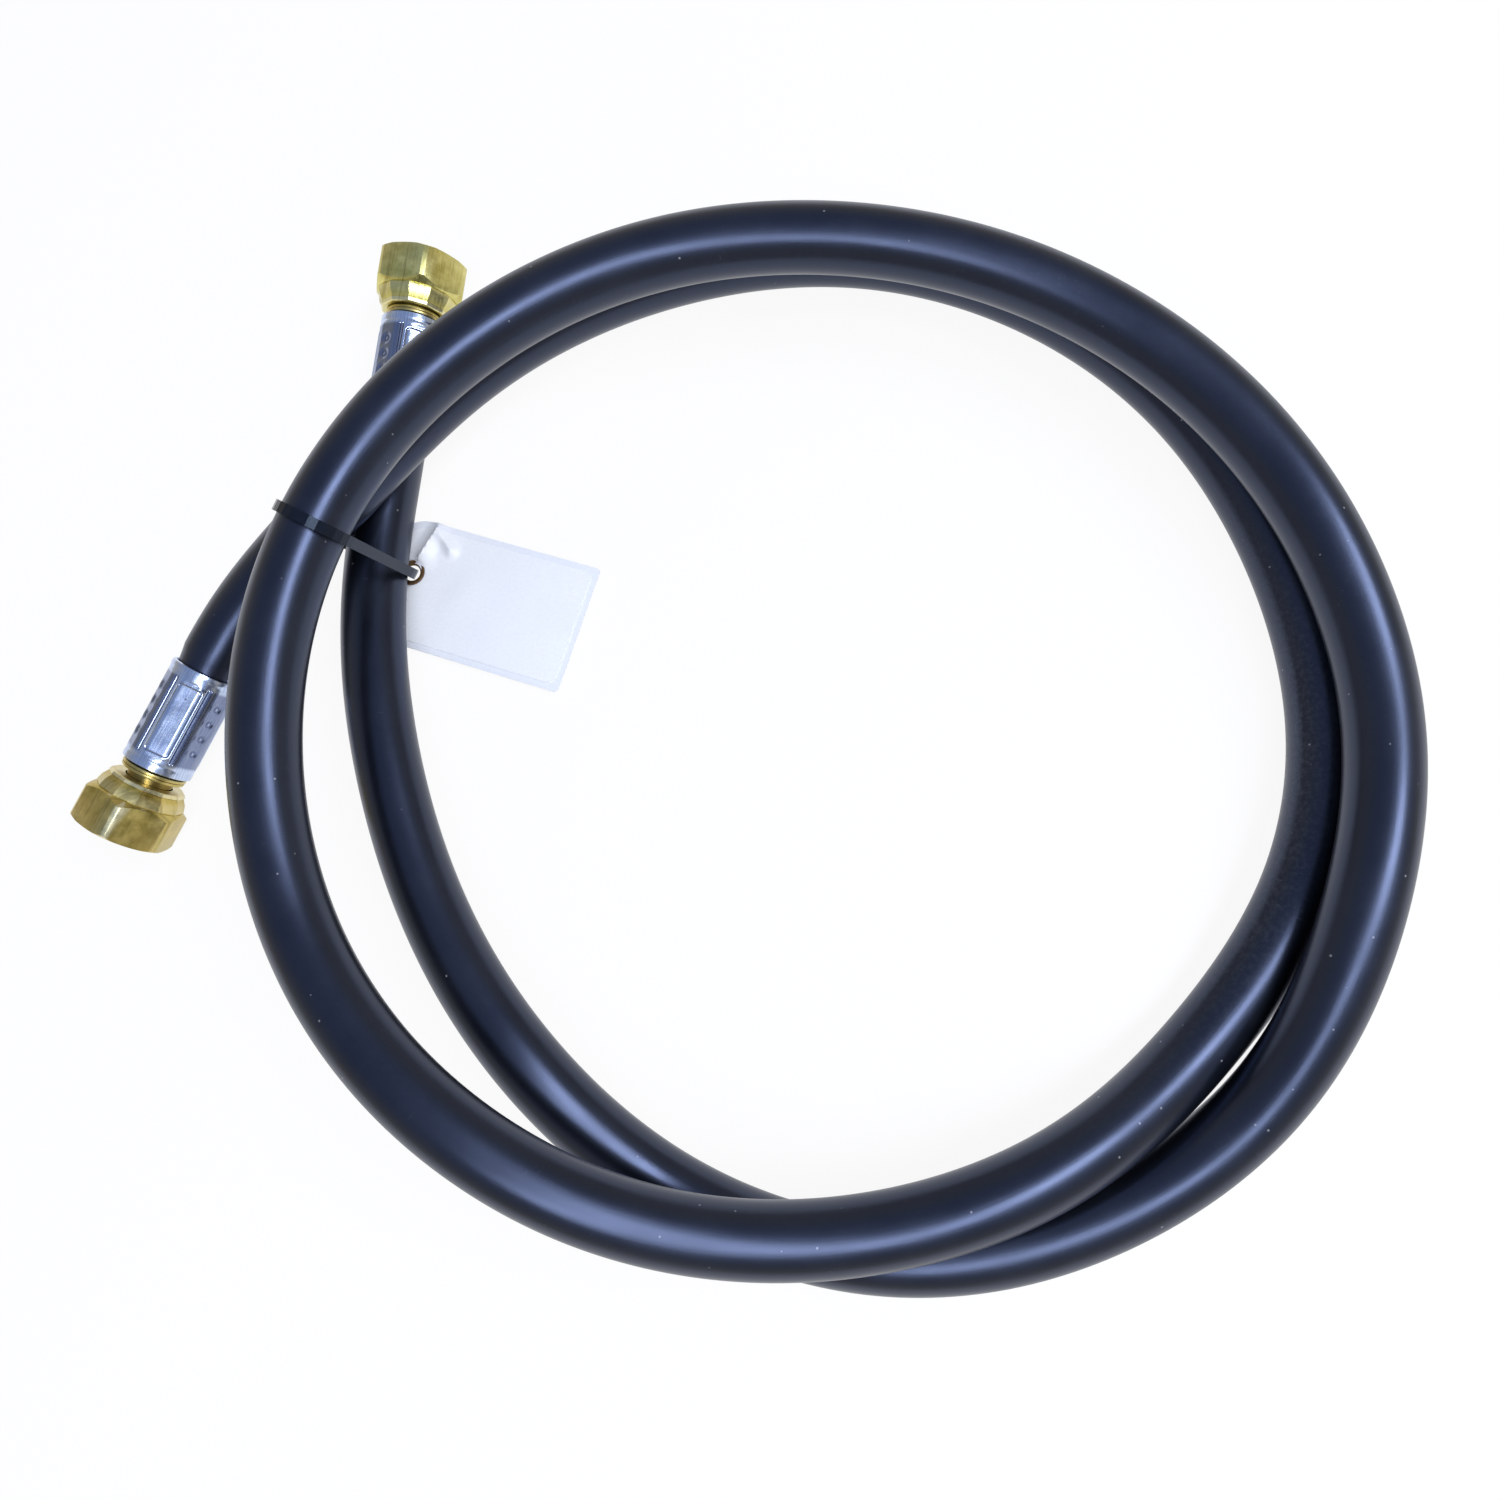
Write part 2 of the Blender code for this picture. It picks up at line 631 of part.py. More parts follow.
hole_place = tie_plane.place(*hole_in_plane)
left, right = -TAG_HOLE_INSET, TAG_LENGTH - TAG_HOLE_INSET
card_outline = rounded_outline(
    left, right, -TAG_BELOW, TAG_ABOVE, (TAG_CORNER, TAG_CORNER, TAG_CORNER, TAG_CUT_CORNER)
)
tag_card = add_object("tag_card", plate_mesh("tag_card", card_outline, TAG_THICKNESS), PAPER)
label_outline = rounded_outline(
    left + LABEL_MARGIN,
    right - LABEL_MARGIN,
    -TAG_BELOW + LABEL_MARGIN,
    TAG_ABOVE - LABEL_MARGIN,
    (LABEL_CORNER, LABEL_CORNER, LABEL_CORNER, TAG_CUT_CORNER),
)
tag_label = add_object("tag_label", plate_mesh("tag_label", label_outline, LABEL_THICKNESS), LABEL)
for plate, height in ((tag_card, TAG_HEIGHT), (tag_label, LABEL_HEIGHT)):
    plate.location = (hole_place.x, hole_place.y, height)
    plate.rotation_euler = (0, 0, TAG_HEADING)
cut_hole(tag_card, TAG_HOLE_RADIUS, "tag_hole")
cut_hole(tag_label, LABEL_HOLE_MARGIN, "label_hole")
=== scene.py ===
"""A coiled rubber hose assembly on a pale floor: two swivel fittings, a cable tie and a card tag.

Metres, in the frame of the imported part. A fitting's own frame has +Z out of the hose, and its
zero is the ferrule's hose end.
"""

import json
from math import cos, pi, radians, sin, sqrt

import bmesh
import bpy
import numpy as np
from mathutils import Matrix, Vector, noise


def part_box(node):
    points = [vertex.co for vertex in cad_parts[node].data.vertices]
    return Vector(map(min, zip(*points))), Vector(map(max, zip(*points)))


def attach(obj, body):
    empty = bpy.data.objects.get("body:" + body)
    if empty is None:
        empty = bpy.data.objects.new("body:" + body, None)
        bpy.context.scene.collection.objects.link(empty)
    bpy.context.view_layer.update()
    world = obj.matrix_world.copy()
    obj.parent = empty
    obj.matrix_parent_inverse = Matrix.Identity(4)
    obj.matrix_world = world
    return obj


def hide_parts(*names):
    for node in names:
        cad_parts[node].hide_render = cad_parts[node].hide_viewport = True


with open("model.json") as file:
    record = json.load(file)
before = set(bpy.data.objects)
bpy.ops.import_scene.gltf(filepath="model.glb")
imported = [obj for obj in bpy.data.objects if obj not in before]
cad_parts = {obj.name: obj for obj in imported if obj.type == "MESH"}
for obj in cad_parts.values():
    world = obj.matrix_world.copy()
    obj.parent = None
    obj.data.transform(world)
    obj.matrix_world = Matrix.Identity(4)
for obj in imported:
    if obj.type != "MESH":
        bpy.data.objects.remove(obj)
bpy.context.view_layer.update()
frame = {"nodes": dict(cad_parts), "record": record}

# ---------------------------------------------------------------- dimensions

HOSE_DIAMETER = 0.016
HOSE_RADIUS = HOSE_DIAMETER / 2
HOSE_BORE = 0.009
HOSE_SQUEEZE = 0.92  # of the hose's radius, inside a ferrule
SQUEEZE_LENGTH = 0.005
HOSE_INSERTION = 0.0236
HOSE_RINGS = 700
HOSE_SIDES = 40

# the hose's route, in hose diameters: one point each TURN_STEP round COIL_CENTRE, and two tails
COIL_CENTRE = (0.03899, -0.00401)
FIRST_ANGLE = radians(157.5)
TURN_STEP = radians(22.5)
COIL = [
    (8.41, 0.68), (7.34, 0.99), (6.89, 1.06), (6.80, 1.17), (7.15, 0.57), (7.39, 0.58),
    (7.50, 0.51), (7.44, 0.76), (7.00, 1.57), (6.95, 1.49), (6.79, 1.66), (6.77, 1.76),
    (6.82, 1.98), (6.98, 2.28), (7.37, 2.50), (7.70, 2.82), (8.09, 2.87), (8.19, 2.83),
    (8.10, 2.64), (7.67, 2.64), (7.31, 2.03), (6.89, 1.49), (6.57, 1.17), (6.43, 0.53),
    (6.48, 0.62), (6.60, 0.51), (6.66, 0.61), (7.03, 0.53), (7.47, 0.52), (7.86, 0.66),
    (7.97, 1.16),
]
TAIL_A = [(-5.107, 5.107, 0.72), (-5.257, 3.937, 0.66)]
TAIL_B = [
    (-3.687, 5.057, 1.87), (-5.587, 3.297, 1.67), (-7.397, 1.567, 1.16), (-7.837, 0.827, 1.08),
]

# ferrule
GAP = 0.0003  # clearance between pieces that touch on the real product
FERRULE_LENGTH = 0.0273
FERRULE_RADIUS = 0.00856
FERRULE_BORE = 0.00766
FERRULE_SIDES = 288
FERRULE_SWELL = 0.00016  # how far the lip at the hose end stands out
LIP_RADIUS = 0.0061  # inside the front lip, which closes into the stem's groove
LIP_LENGTH = 0.0017
CRIMP_COUNT = 6  # crimped faces, each second one with dimples
CRIMP_DEPTH = 0.00042
CRIMP_BACK = 0.0027
CRIMP_FRONT = FERRULE_LENGTH - 0.0030
CRIMP_MIDDLE = (CRIMP_BACK + CRIMP_FRONT) / 2
CRIMP_FADE = 0.0009
SEAM_BEARING = radians(27.6)  # from the middle of a face to the seam beside it
SEAM_DEPTH = 0.00024
PANEL_HALF_WIDTH = 0.0031
PANEL_HALF_LENGTH = (CRIMP_FRONT - CRIMP_BACK) / 2 - 0.0016
PANEL_CORNER = 0.0009
PANEL_DEPTH = 0.00026
PANEL_RIM = 0.00009
PANEL_TURN = {"a": radians(126.6), "b": radians(66.6)}  # bearing of one panel on each ferrule
DIMPLE_COUNT = 4
DIMPLE_PITCH = 0.0042
DIMPLE_RADIUS = 0.0018
DIMPLE_DEPTH = 0.00036
DIMPLE_RIM = 0.00006
DIMPLE_BOSS = 0.00022

# stem
STEM_BACK = 0.004
STEM_BORE_RADIUS = 0.0026
STEM_EDGE = 0.00035
BARB_COUNT = 4
BARB_PITCH = 0.0044
BARB_LENGTH = 0.0035
BARB_RADIUS = 0.0034
BARB_ROOT = 0.0030
SHOULDER_BACK = HOSE_INSERTION + GAP
SHOULDER_LENGTH = 0.0013
SHOULDER_RADIUS = 0.0072
GROOVE_RADIUS = 0.0058
COLLAR_LENGTH = 0.0017
COLLAR_RADIUS = 0.0077
NECK_RADIUS = 0.0055
HEAD_RADIUS = 0.007
HEAD_LENGTH = 0.0013
NOSE_LENGTH = 0.0031
NOSE_WALL = 0.0014

# swivel nut
NUT_FLATS = 0.0218
NUT_CORNERS = 0.0245
NUT_LENGTH = 0.0149
NUT_EDGE = 0.00028
TAPER_LENGTH = 0.0047
TAPER_BACK_RADIUS = 0.009
TAPER_FRONT_RADIUS = 0.0106
TAPER_FACETS = 12
THREAD_RADIUS = 0.00745
THREAD_DEPTH = 0.0006
THREAD_PITCH = 0.0014
BACK_LIP = 0.002
NUT_BACK = {"a": 0.0296, "b": 0.0311}
ROLL = {"a": radians(-3), "b": radians(10)}

TIE_EDGE = 0.00018

# tag
TAG_LENGTH = 0.058
TAG_ABOVE = 0.0149
TAG_BELOW = 0.0196
TAG_HOLE_INSET = 0.0084
TAG_HOLE_RADIUS = 0.0026
TAG_HEADING = radians(-18.3)
TAG_CORNER = 0.0012
TAG_CUT_CORNER = 0.0085
SHEET_CELLS = 110  # along the length of the card or label
LABEL_MARGIN = 0.0017
LABEL_THICKNESS = 0.00015
LABEL_CORNER = 0.0026
LABEL_CUT_CORNER = 0.0080
LABEL_HOLE_RADIUS = 0.0037
# creases of the crumpled corner, as (start, end, height, width)
CREASES = [
    ((0.0008, 0.0030), (0.0026, 0.0128), 0.0024, 0.0034),
    ((0.0030, 0.0126), (0.0086, 0.0085), 0.0018, 0.0026),
    ((-0.0035, 0.0060), (0.0005, 0.0125), 0.0013, 0.0024),
]
# at the end of the tag's swing: how x and y count across the hose, and where its middle is
SWUNG_X = 0.98
SWUNG_Y = -0.2
SWUNG_HOLE = 0.0054
SWUNG_HEIGHT = 0.0078

# scuffs on the coil's second turn: their stretch of the hose, as shares, and their bearing
WEAR_START = 0.60
WEAR_END = 0.86
WEAR_BEARING = -8
WEAR_SPREAD = 34

CAMERA_PLACE = (0.04319, -0.05651, 0.2655618)
CAMERA_RIGHT = (0.9927280, 0.0, -0.1203793)
CAMERA_UP = (0.0220081, 0.9831458, 0.1814935)
CAMERA_BACK = (0.1183504, -0.1828230, 0.9759964)
CAMERA_LENS = 26.0

STRIP_SIZE = (0.80, 0.32)
STRIP_HEADING = radians(49)
STRIP_COLOUR = (0.87, 0.92, 1.0)
FLOOR_REACH = 4.0
FLOOR_GLOW = 0.92  # share of plain white that the camera and glossy pieces see in the floor
WHITE = (1, 1, 1, 1)
HORIZON = (0.50, 0.44, 0.33, 1)
ZENITH = (0.27, 0.33, 0.46, 1)

# ---------------------------------------------------------------- materials


def add_node(tree, kind, inputs=(), **settings):
    """A new shader node. Each input is a value or a socket, by its name or number."""
    node = tree.nodes.new("ShaderNode" + kind)
    for key, value in settings.items():
        setattr(node, key, value)
    for key, value in dict(inputs).items():
        if isinstance(value, bpy.types.NodeSocket):
            tree.links.new(value, node.inputs[key])
        else:
            node.inputs[key].default_value = value
    return node


class Shader:
    """A node material under construction."""

    def __init__(self, name, **sockets):
        self.material = bpy.data.materials.new(name)
        self.material.use_nodes = True
        self.tree = self.material.node_tree
        self.shader = self.tree.nodes["Principled BSDF"]
        for socket, value in sockets.items():
            self.shader.inputs[socket.replace("_", " ")].default_value = value

    def add(self, kind, inputs=(), **settings):
        return add_node(self.tree, kind, inputs, **settings)

    def link(self, socket, target):
        self.tree.links.new(socket, self.shader.inputs[target])

    def place(self, scale=(1, 1, 1), source="Object"):
        spot = self.add("TexCoord").outputs[source]
        return self.add("Mapping", {"Vector": spot, "Scale": scale}).outputs["Vector"]

    def noise(self, vector, scale, detail=4, roughness=0.6, distortion=0.0):
        inputs = {"Vector": vector, "Scale": scale, "Detail": detail, "Roughness": roughness}
        inputs["Distortion"] = distortion
        return self.add("TexNoise", inputs).outputs["Fac"]

    def ramp(self, factor, low, high, start=0.0, end=1.0):
        """Maps low..high to start..end, clamped."""
        inputs = {"Value": factor, "From Min": low, "From Max": high}
        inputs.update({"To Min": start, "To Max": end})
        return self.add("MapRange", inputs).outputs["Result"]

    def mix(self, factor, first, second):
        node = self.add("Mix", data_type="RGBA")
        for socket, value in (
            (node.inputs["Factor"], factor), (node.inputs[6], first), (node.inputs[7], second)
        ):
            if isinstance(value, bpy.types.NodeSocket):
                self.tree.links.new(value, socket)
            else:
                socket.default_value = value if socket.type == "VALUE" else (*value[:3], 1)
        return node.outputs[2]

    def maths(self, operation, first, second):
        return self.add("Math", {0: first, 1: second}, operation=operation).outputs[0]

    def bump(self, height, strength, distance, normal=None):
        inputs = {"Height": height, "Strength": strength, "Distance": distance}
        if normal is not None:
            inputs["Normal"] = normal
        return self.add("Bump", inputs).outputs["Normal"]


def rubber_material():
    """Satin black rubber: fine grain, drawn lines along the hose, dust, scratches and scuffs."""
    made = Shader("rubber", Specular_IOR_Level=1.0, Specular_Tint=(0.50, 0.60, 0.98, 1))
    spot = made.place()
    cloud = made.noise(spot, 55, 3)
    grain = made.noise(spot, 1500, 3)
    drawn = made.noise(made.place((90, 4, 1), "UV"), 1.0, 3)
    base = made.mix(made.ramp(cloud, 0.35, 0.7), (0.0016, 0.0020, 0.0030), (0.0040, 0.0044, 0.0056))
    wear = made.add("Attribute", attribute_name="wear").outputs["Fac"]
    rubbed = made.ramp(made.noise(spot, 900, 6, 0.8), 0.46, 0.60)
    scuff = made.maths("MULTIPLY", wear, rubbed)
    base = made.mix(made.maths("MULTIPLY", scuff, 0.30), base, (0.075, 0.077, 0.084))
    slant = {"Rotation": (0, 0, radians(38)), "Scale": (14, 190, 1)}
    cross = made.add("Mapping", {"Vector": made.place(source="UV"), **slant})
    scratch = made.ramp(made.noise(cross.outputs["Vector"], 1.3, 2, 0.5, 0.6), 0.705, 0.73)
    scratch = made.maths("MULTIPLY", scratch, made.ramp(made.noise(spot, 38, 2), 0.5, 0.62))
    scratch = made.maths("MULTIPLY", scratch, made.ramp(wear, 0.0, 0.7, 0.12, 0.9))
    base = made.mix(scratch, base, (0.22, 0.22, 0.235))
    specks = made.add("TexVoronoi", {"Vector": spot, "Scale": 420.0, "Randomness": 1.0})
    fine = made.ramp(specks.outputs["Distance"], 0.13, 0.07)
    chosen = made.add("SeparateColor", {"Color": specks.outputs["Color"]}).outputs["Red"]
    dusty = made.ramp(made.noise(spot, 22, 2), 0.42, 0.62, 0.0, 0.07)
    dusty = made.maths("ADD", dusty, made.maths("MULTIPLY", wear, 0.22))
    dust = made.maths("MULTIPLY", fine, made.maths("LESS_THAN", chosen, dusty))
    base = made.mix(made.maths("MULTIPLY", dust, 0.75), base, (0.27, 0.27, 0.28))
    made.link(base, "Base Color")
    rough = made.ramp(cloud, 0.3, 0.7, 0.29, 0.35)
    rough = made.maths("ADD", rough, made.maths("MULTIPLY", scuff, 0.08))
    made.link(rough, "Roughness")
    normal = made.bump(grain, 0.10, 0.00008)
    normal = made.bump(drawn, 0.06, 0.0002, normal)
    normal = made.bump(scratch, 0.3, 0.00006, normal)
    made.link(normal, "Normal")
    return made.material


def brass_material(name, low, high):
    """Machined brass: brushed lines, mottled tarnish from low to high and paler worn edges."""
    made = Shader(name, Metallic=1.0)
    spot = made.place()
    mottle = made.noise(spot, 260, 5, 0.65)
    blotch = made.noise(spot, 90, 3)
    brushed = made.noise(made.place(source="UV"), 1.0, 4, 0.7)
    base = made.mix(made.ramp(mottle, 0.35, 0.68), low, high)
    base = made.mix(made.ramp(blotch, 0.45, 0.75, 0.0, 0.5), base, (0.46, 0.40, 0.16))
    worn = made.add("NewGeometry").outputs["Pointiness"]
    base = made.mix(made.ramp(worn, 0.52, 0.60, 0.0, 0.8), base, (0.90, 0.84, 0.56))
    base = made.mix(made.ramp(worn, 0.47, 0.42, 0.0, 0.7), base, (0.16, 0.11, 0.04))
    base = made.mix(made.ramp(brushed, 0.48, 0.36, 0.0, 0.5), base, (0.22, 0.17, 0.05))
    made.link(base, "Base Color")
    made.link(made.ramp(mottle, 0.3, 0.7, 0.24, 0.40), "Roughness")
    normal = made.bump(brushed, 0.4, 0.00016)
    normal = made.bump(mottle, 0.12, 0.0001, normal)
    made.link(normal, "Normal")
    return made.material


def zinc_material():
    """Bright zinc plating with a bluish cast, drawn streaks and pits, painted navy shade in
    hollows, seams and dimples, and painted white highlights on edges.
    """
    made = Shader("zinc", Metallic=1.0)
    spot = made.place()
    cloud = made.noise(spot, 180, 4)
    streak = made.noise(made.place((150, 6, 1), "UV"), 1.0, 4, 0.65)
    base = made.mix(made.ramp(streak, 0.35, 0.7), (0.40, 0.50, 0.78), (0.74, 0.82, 0.97))
    base = made.mix(made.ramp(cloud, 0.55, 0.72, 0.0, 0.35), base, (0.42, 0.46, 0.60))
    pits = made.add("TexVoronoi", {"Vector": spot, "Scale": 520.0}).outputs["Distance"]
    chosen = made.ramp(made.noise(spot, 140, 2), 0.58, 0.62)
    pit = made.maths("MULTIPLY", made.ramp(pits, 0.16, 0.08), chosen)
    base = made.mix(made.maths("MULTIPLY", pit, 0.8), base, (0.05, 0.06, 0.10))
    # painted shade: navy where the sleeve's shade attribute is high, on dimpled faces, in dimples,
    # along seams and in panel grooves
    shade = made.add("Attribute", attribute_name="shade").outputs["Fac"]
    base = made.mix(shade, base, (0.030, 0.045, 0.15))
    # by curvature: painted navy shade in hollows and a painted near-white highlight on ridges
    curvature = made.add("NewGeometry").outputs["Pointiness"]
    base = made.mix(made.ramp(curvature, 0.48, 0.43, 0.0, 0.65), base, (0.09, 0.11, 0.22))
    base = made.mix(made.ramp(curvature, 0.53, 0.60, 0.0, 0.7), base, (0.93, 0.95, 0.99))
    made.link(base, "Base Color")
    made.link(made.ramp(cloud, 0.3, 0.7, 0.16, 0.30), "Roughness")
    normal = made.bump(streak, 0.07, 0.0001)
    made.link(normal, "Normal")
    return made.material


def nylon_material():
    """Glossy black nylon with faint moulding lines."""
    made = Shader("nylon", Specular_IOR_Level=0.35, Specular_Tint=(0.6, 0.75, 1.0, 1))
    cloud = made.noise(made.place(), 220, 3)
    made.link(made.mix(cloud, (0.003, 0.004, 0.008), (0.007, 0.009, 0.016)), "Base Color")
    made.link(made.ramp(cloud, 0.3, 0.7, 0.10, 0.20), "Roughness")
    made.link(made.bump(made.noise(made.place(), 900, 2), 0.08, 0.0001), "Normal")
    return made.material


def paper_material(name, tone):
    """Card or label stock: fibres, a soft sheen and faint handling marks."""
    made = Shader(name, Specular_IOR_Level=0.3)
    spot = made.place()
    fibre = made.noise(spot, 1300, 4, 0.7)
    marks = made.noise(spot, 60, 4)
    darker = tuple(value * 0.93 for value in tone)
    handled = tuple(value * 0.88 for value in tone)
    base = made.mix(made.ramp(fibre, 0.3, 0.7), darker, tone)
    base = made.mix(made.ramp(marks, 0.56, 0.75, 0.0, 0.35), base, handled)
    made.link(base, "Base Color")
    made.link(made.ramp(marks, 0.3, 0.7, 0.42, 0.6), "Roughness")
    made.link(made.bump(fibre, 0.12, 0.00008), "Normal")
    return made.material


def fibre_material():
    """The brown rim of the punched hole."""
    made = Shader("hole_edge", Roughness=0.7)
    spot = made.place()
    base = made.mix(made.noise(spot, 900, 3), (0.020, 0.010, 0.004), (0.20, 0.10, 0.03))
    made.link(base, "Base Color")
    made.link(made.bump(made.noise(spot, 1500, 3), 0.5, 0.0002), "Normal")
    return made.material


# ---------------------------------------------------------------- mesh helpers


def add_piece(name, mesh, finish, body, replaces=(), sharp=35):
    mesh.shade_smooth()
    mesh.set_sharp_from_angle(angle=radians(sharp))
    mesh.materials.clear()
    mesh.materials.append(finish)
    piece = bpy.data.objects.new(name, mesh)
    bpy.context.scene.collection.objects.link(piece)
    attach(piece, body)
    if replaces:
        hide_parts(*replaces)
    return piece


def grid_mesh(name, stations, uvs):
    """A closed mesh of rings, each an array of points. The last ring joins the first."""
    points = np.asarray(stations, float)
    rings, sides = points.shape[:2]
    faces = []
    for ring in range(rings):
        here, onward = ring * sides, (ring + 1) % rings * sides
        for side in range(sides):
            beside = (side + 1) % sides
            faces.append((here + side, here + beside, onward + beside, onward + side))
    mesh = bpy.data.meshes.new(name)
    mesh.from_pydata(points.reshape(-1, 3).tolist(), [], faces)
    layer = mesh.uv_layers.new(name="UVMap")
    loops = np.empty(len(mesh.loops), int)
    mesh.loops.foreach_get("vertex_index", loops)
    flat = np.asarray(uvs, float).reshape(-1, 2)[loops].reshape(-1, 4, 2)
    first = loops.reshape(-1, 4) % sides
    wraps = (first.max(1) - first.min(1)) > sides / 2
    flat[..., 0] += (first == 0) & wraps[:, None]
    layer.data.foreach_set("uv", flat.ravel())
    mesh.validate()
    outward(mesh)
    return mesh


def outward(mesh):
    shape = bmesh.new()
    shape.from_mesh(mesh)
    bmesh.ops.recalc_face_normals(shape, faces=shape.faces[:])
    shape.to_mesh(mesh)
    shape.free()


def lathe(name, profile, sides):
    """A turned hollow piece from a closed profile of (height, radius)."""
    angles = np.linspace(0, 2 * pi, sides, endpoint=False)
    stations = [
        np.stack([radius * np.cos(angles), radius * np.sin(angles), np.full(sides, height)], 1)
        for height, radius in profile
    ]
    uvs = [np.stack([angles / (2 * pi), np.full(sides, height * 30)], 1) for height, _ in profile]
    return grid_mesh(name, stations, uvs)


def rounded(profile, radius, steps=3):
    """The closed profile with each marked corner rounded. A corner is (height, radius, mark)."""
    result = []
    count = len(profile)
    for index, (height, reach, mark) in enumerate(profile):
        if not mark:
            result.append((height, reach))
            continue
        spot = np.array([height, reach])
        before = np.array(profile[index - 1][:2]) - spot
        after = np.array(profile[(index + 1) % count][:2]) - spot
        cut = min(radius, np.linalg.norm(before) * 0.45, np.linalg.norm(after) * 0.45)
        start = spot + before / np.linalg.norm(before) * cut
        end = spot + after / np.linalg.norm(after) * cut
        for step in range(steps + 1):
            share = step / steps
            near = (1 - share) ** 2 * start + 2 * share * (1 - share) * spot
            result.append(tuple(near + share**2 * end))
    return result


# ---------------------------------------------------------------- hose


def coil_route():
    centre = Vector((*COIL_CENTRE, 0))
    points = [Vector(point) * HOSE_DIAMETER for point in TAIL_A]
    for index, (radius, height) in enumerate(COIL):
        angle = FIRST_ANGLE + index * TURN_STEP
        ring = Vector((radius * cos(angle), radius * sin(angle), height))
        points.append(centre + ring * HOSE_DIAMETER)
    points += [Vector(point) * HOSE_DIAMETER for point in TAIL_B]
    return np.array([tuple(point) for point in points])


def smooth_curve(points, count):
    """A natural cubic spline through the points, as count points at equal spacing."""
    spans = np.linalg.norm(np.diff(points, axis=0), axis=1)
    knots = np.concatenate([[0], np.cumsum(spans)])
    size = len(points)
    system = np.eye(size)
    change = np.zeros_like(points)
    for row in range(1, size - 1):
        before, after = spans[row - 1], spans[row]
        system[row, row - 1 : row + 2] = before, 2 * (before + after), after
        rise = (points[row + 1] - points[row]) / after
        run = (points[row] - points[row - 1]) / before
        change[row] = 6 * (rise - run)
    bend = np.linalg.solve(system, change)

    def at(places):
        span = np.clip(np.searchsorted(knots, places) - 1, 0, size - 2)
        width = spans[span][:, None]
        left = (places - knots[span])[:, None]
        right = width - left
        cubic = (bend[span] * right**3 + bend[span + 1] * left**3) / (6 * width)
        start = (points[span] / width - bend[span] * width / 6) * right
        end = (points[span + 1] / width - bend[span + 1] * width / 6) * left
        return cubic + start + end

    fine = at(np.linspace(0, knots[-1], 10 * count))
    lengths = np.concatenate([[0], np.cumsum(np.linalg.norm(np.diff(fine, axis=0), axis=1))])
    even = np.linspace(0, lengths[-1], count)
    return np.stack([np.interp(even, lengths, fine[:, axis]) for axis in range(3)], 1)


def unit(vector):
    return np.asarray(vector) / np.linalg.norm(vector)


def hose_centreline():
    """The whole hose, from its end inside ferrule A to its end inside ferrule B."""
    route = smooth_curve(coil_route(), HOSE_RINGS)
    first, last = unit(route[0] - route[1]), unit(route[-1] - route[-2])
    reach = np.linspace(HOSE_INSERTION, 0, 9)[:-1, None]
    return np.vstack([route[0] + first * reach, route, route[-1] + last * reach[::-1]])


def carried_frames(points):
    """A side and an up direction at each point, carried along without twist."""
    tangents = np.gradient(points, axis=0)
    tangents /= np.linalg.norm(tangents, axis=1)[:, None]
    side = unit(np.cross((0, 0, 1), tangents[0]))
    sides = []
    for tangent in tangents:
        side = unit(side - tangent * np.dot(side, tangent))
        sides.append(side)
    sides = np.array(sides)
    return sides, np.cross(tangents, sides)


def wear_values(points, shares, sides, ups):
    """How scuffed each point of the hose's outside is: most where it faces the coil's middle."""
    angles = np.linspace(0, 2 * pi, HOSE_SIDES, endpoint=False)
    centre = np.array([*COIL_CENTRE, 0])
    values = np.zeros((len(points), HOSE_SIDES))
    for index, point in enumerate(points):
        bearing = np.degrees(np.arctan2(point[1] - centre[1], point[0] - centre[0]))
        strength = np.exp(-(((bearing - WEAR_BEARING) / WEAR_SPREAD) ** 2))
        if not WEAR_START < shares[index] < WEAR_END:
            strength = 0.0
        for side, angle in enumerate(angles):
            way = sides[index] * cos(angle) + ups[index] * sin(angle)
            inward = np.dot(way, unit(centre - point * (1, 1, 0)))
            facing = np.clip(0.1 + 0.9 * inward + 0.2 * way[2], 0, 1)
            values[index, side] = 0.06 + strength * facing
    return values


def hose_piece():
    points = hose_centreline()
    sides, ups = carried_frames(points)
    lengths = np.concatenate([[0], np.cumsum(np.linalg.norm(np.diff(points, axis=0), axis=1))])
    total = lengths[-1]
    angles = np.linspace(0, 2 * pi, HOSE_SIDES, endpoint=False)
    depth = np.minimum(lengths, total - lengths) - HOSE_INSERTION
    share = np.clip((SQUEEZE_LENGTH - depth) / SQUEEZE_LENGTH, 0, 1)
    squeeze = 1 - (1 - HOSE_SQUEEZE) * share * share * (3 - 2 * share)
    outer, uvs = [], []
    for index, point in enumerate(points):
        ring = []
        for angle in angles:
            way = sides[index] * cos(angle) + ups[index] * sin(angle)
            uneven = noise.noise(Vector(point * 22 + way * 0.35)) * 0.00009
            ring.append(point + way * (HOSE_RADIUS * squeeze[index] + uneven - 0.00005))
        outer.append(ring)
        uvs.append([(angle / (2 * pi), lengths[index] / (pi * HOSE_DIAMETER)) for angle in angles])
    inner = []
    for index in range(len(points) - 1, -1, -1):
        reach = HOSE_BORE / 2 * squeeze[index]
        inner.append(
            [points[index] + (sides[index] * cos(a) + ups[index] * sin(a)) * reach for a in angles]
        )
    stations = np.array(outer + inner)
    mesh = grid_mesh("hose", stations, np.array(uvs + uvs[::-1]))
    worn = wear_values(points, (lengths - HOSE_INSERTION) / total, sides, ups)
    values = np.zeros(stations.shape[:2])
    values[: len(points)] = worn
    mesh.attributes.new("wear", "FLOAT", "POINT").data.foreach_set("value", values.ravel())
    piece = add_piece(
        "hose", mesh, RUBBER, "hose", ("hose_cover", "hose_braid", "hose_liner"), sharp=60
    )
    return piece, points, total


# ---------------------------------------------------------------- fittings


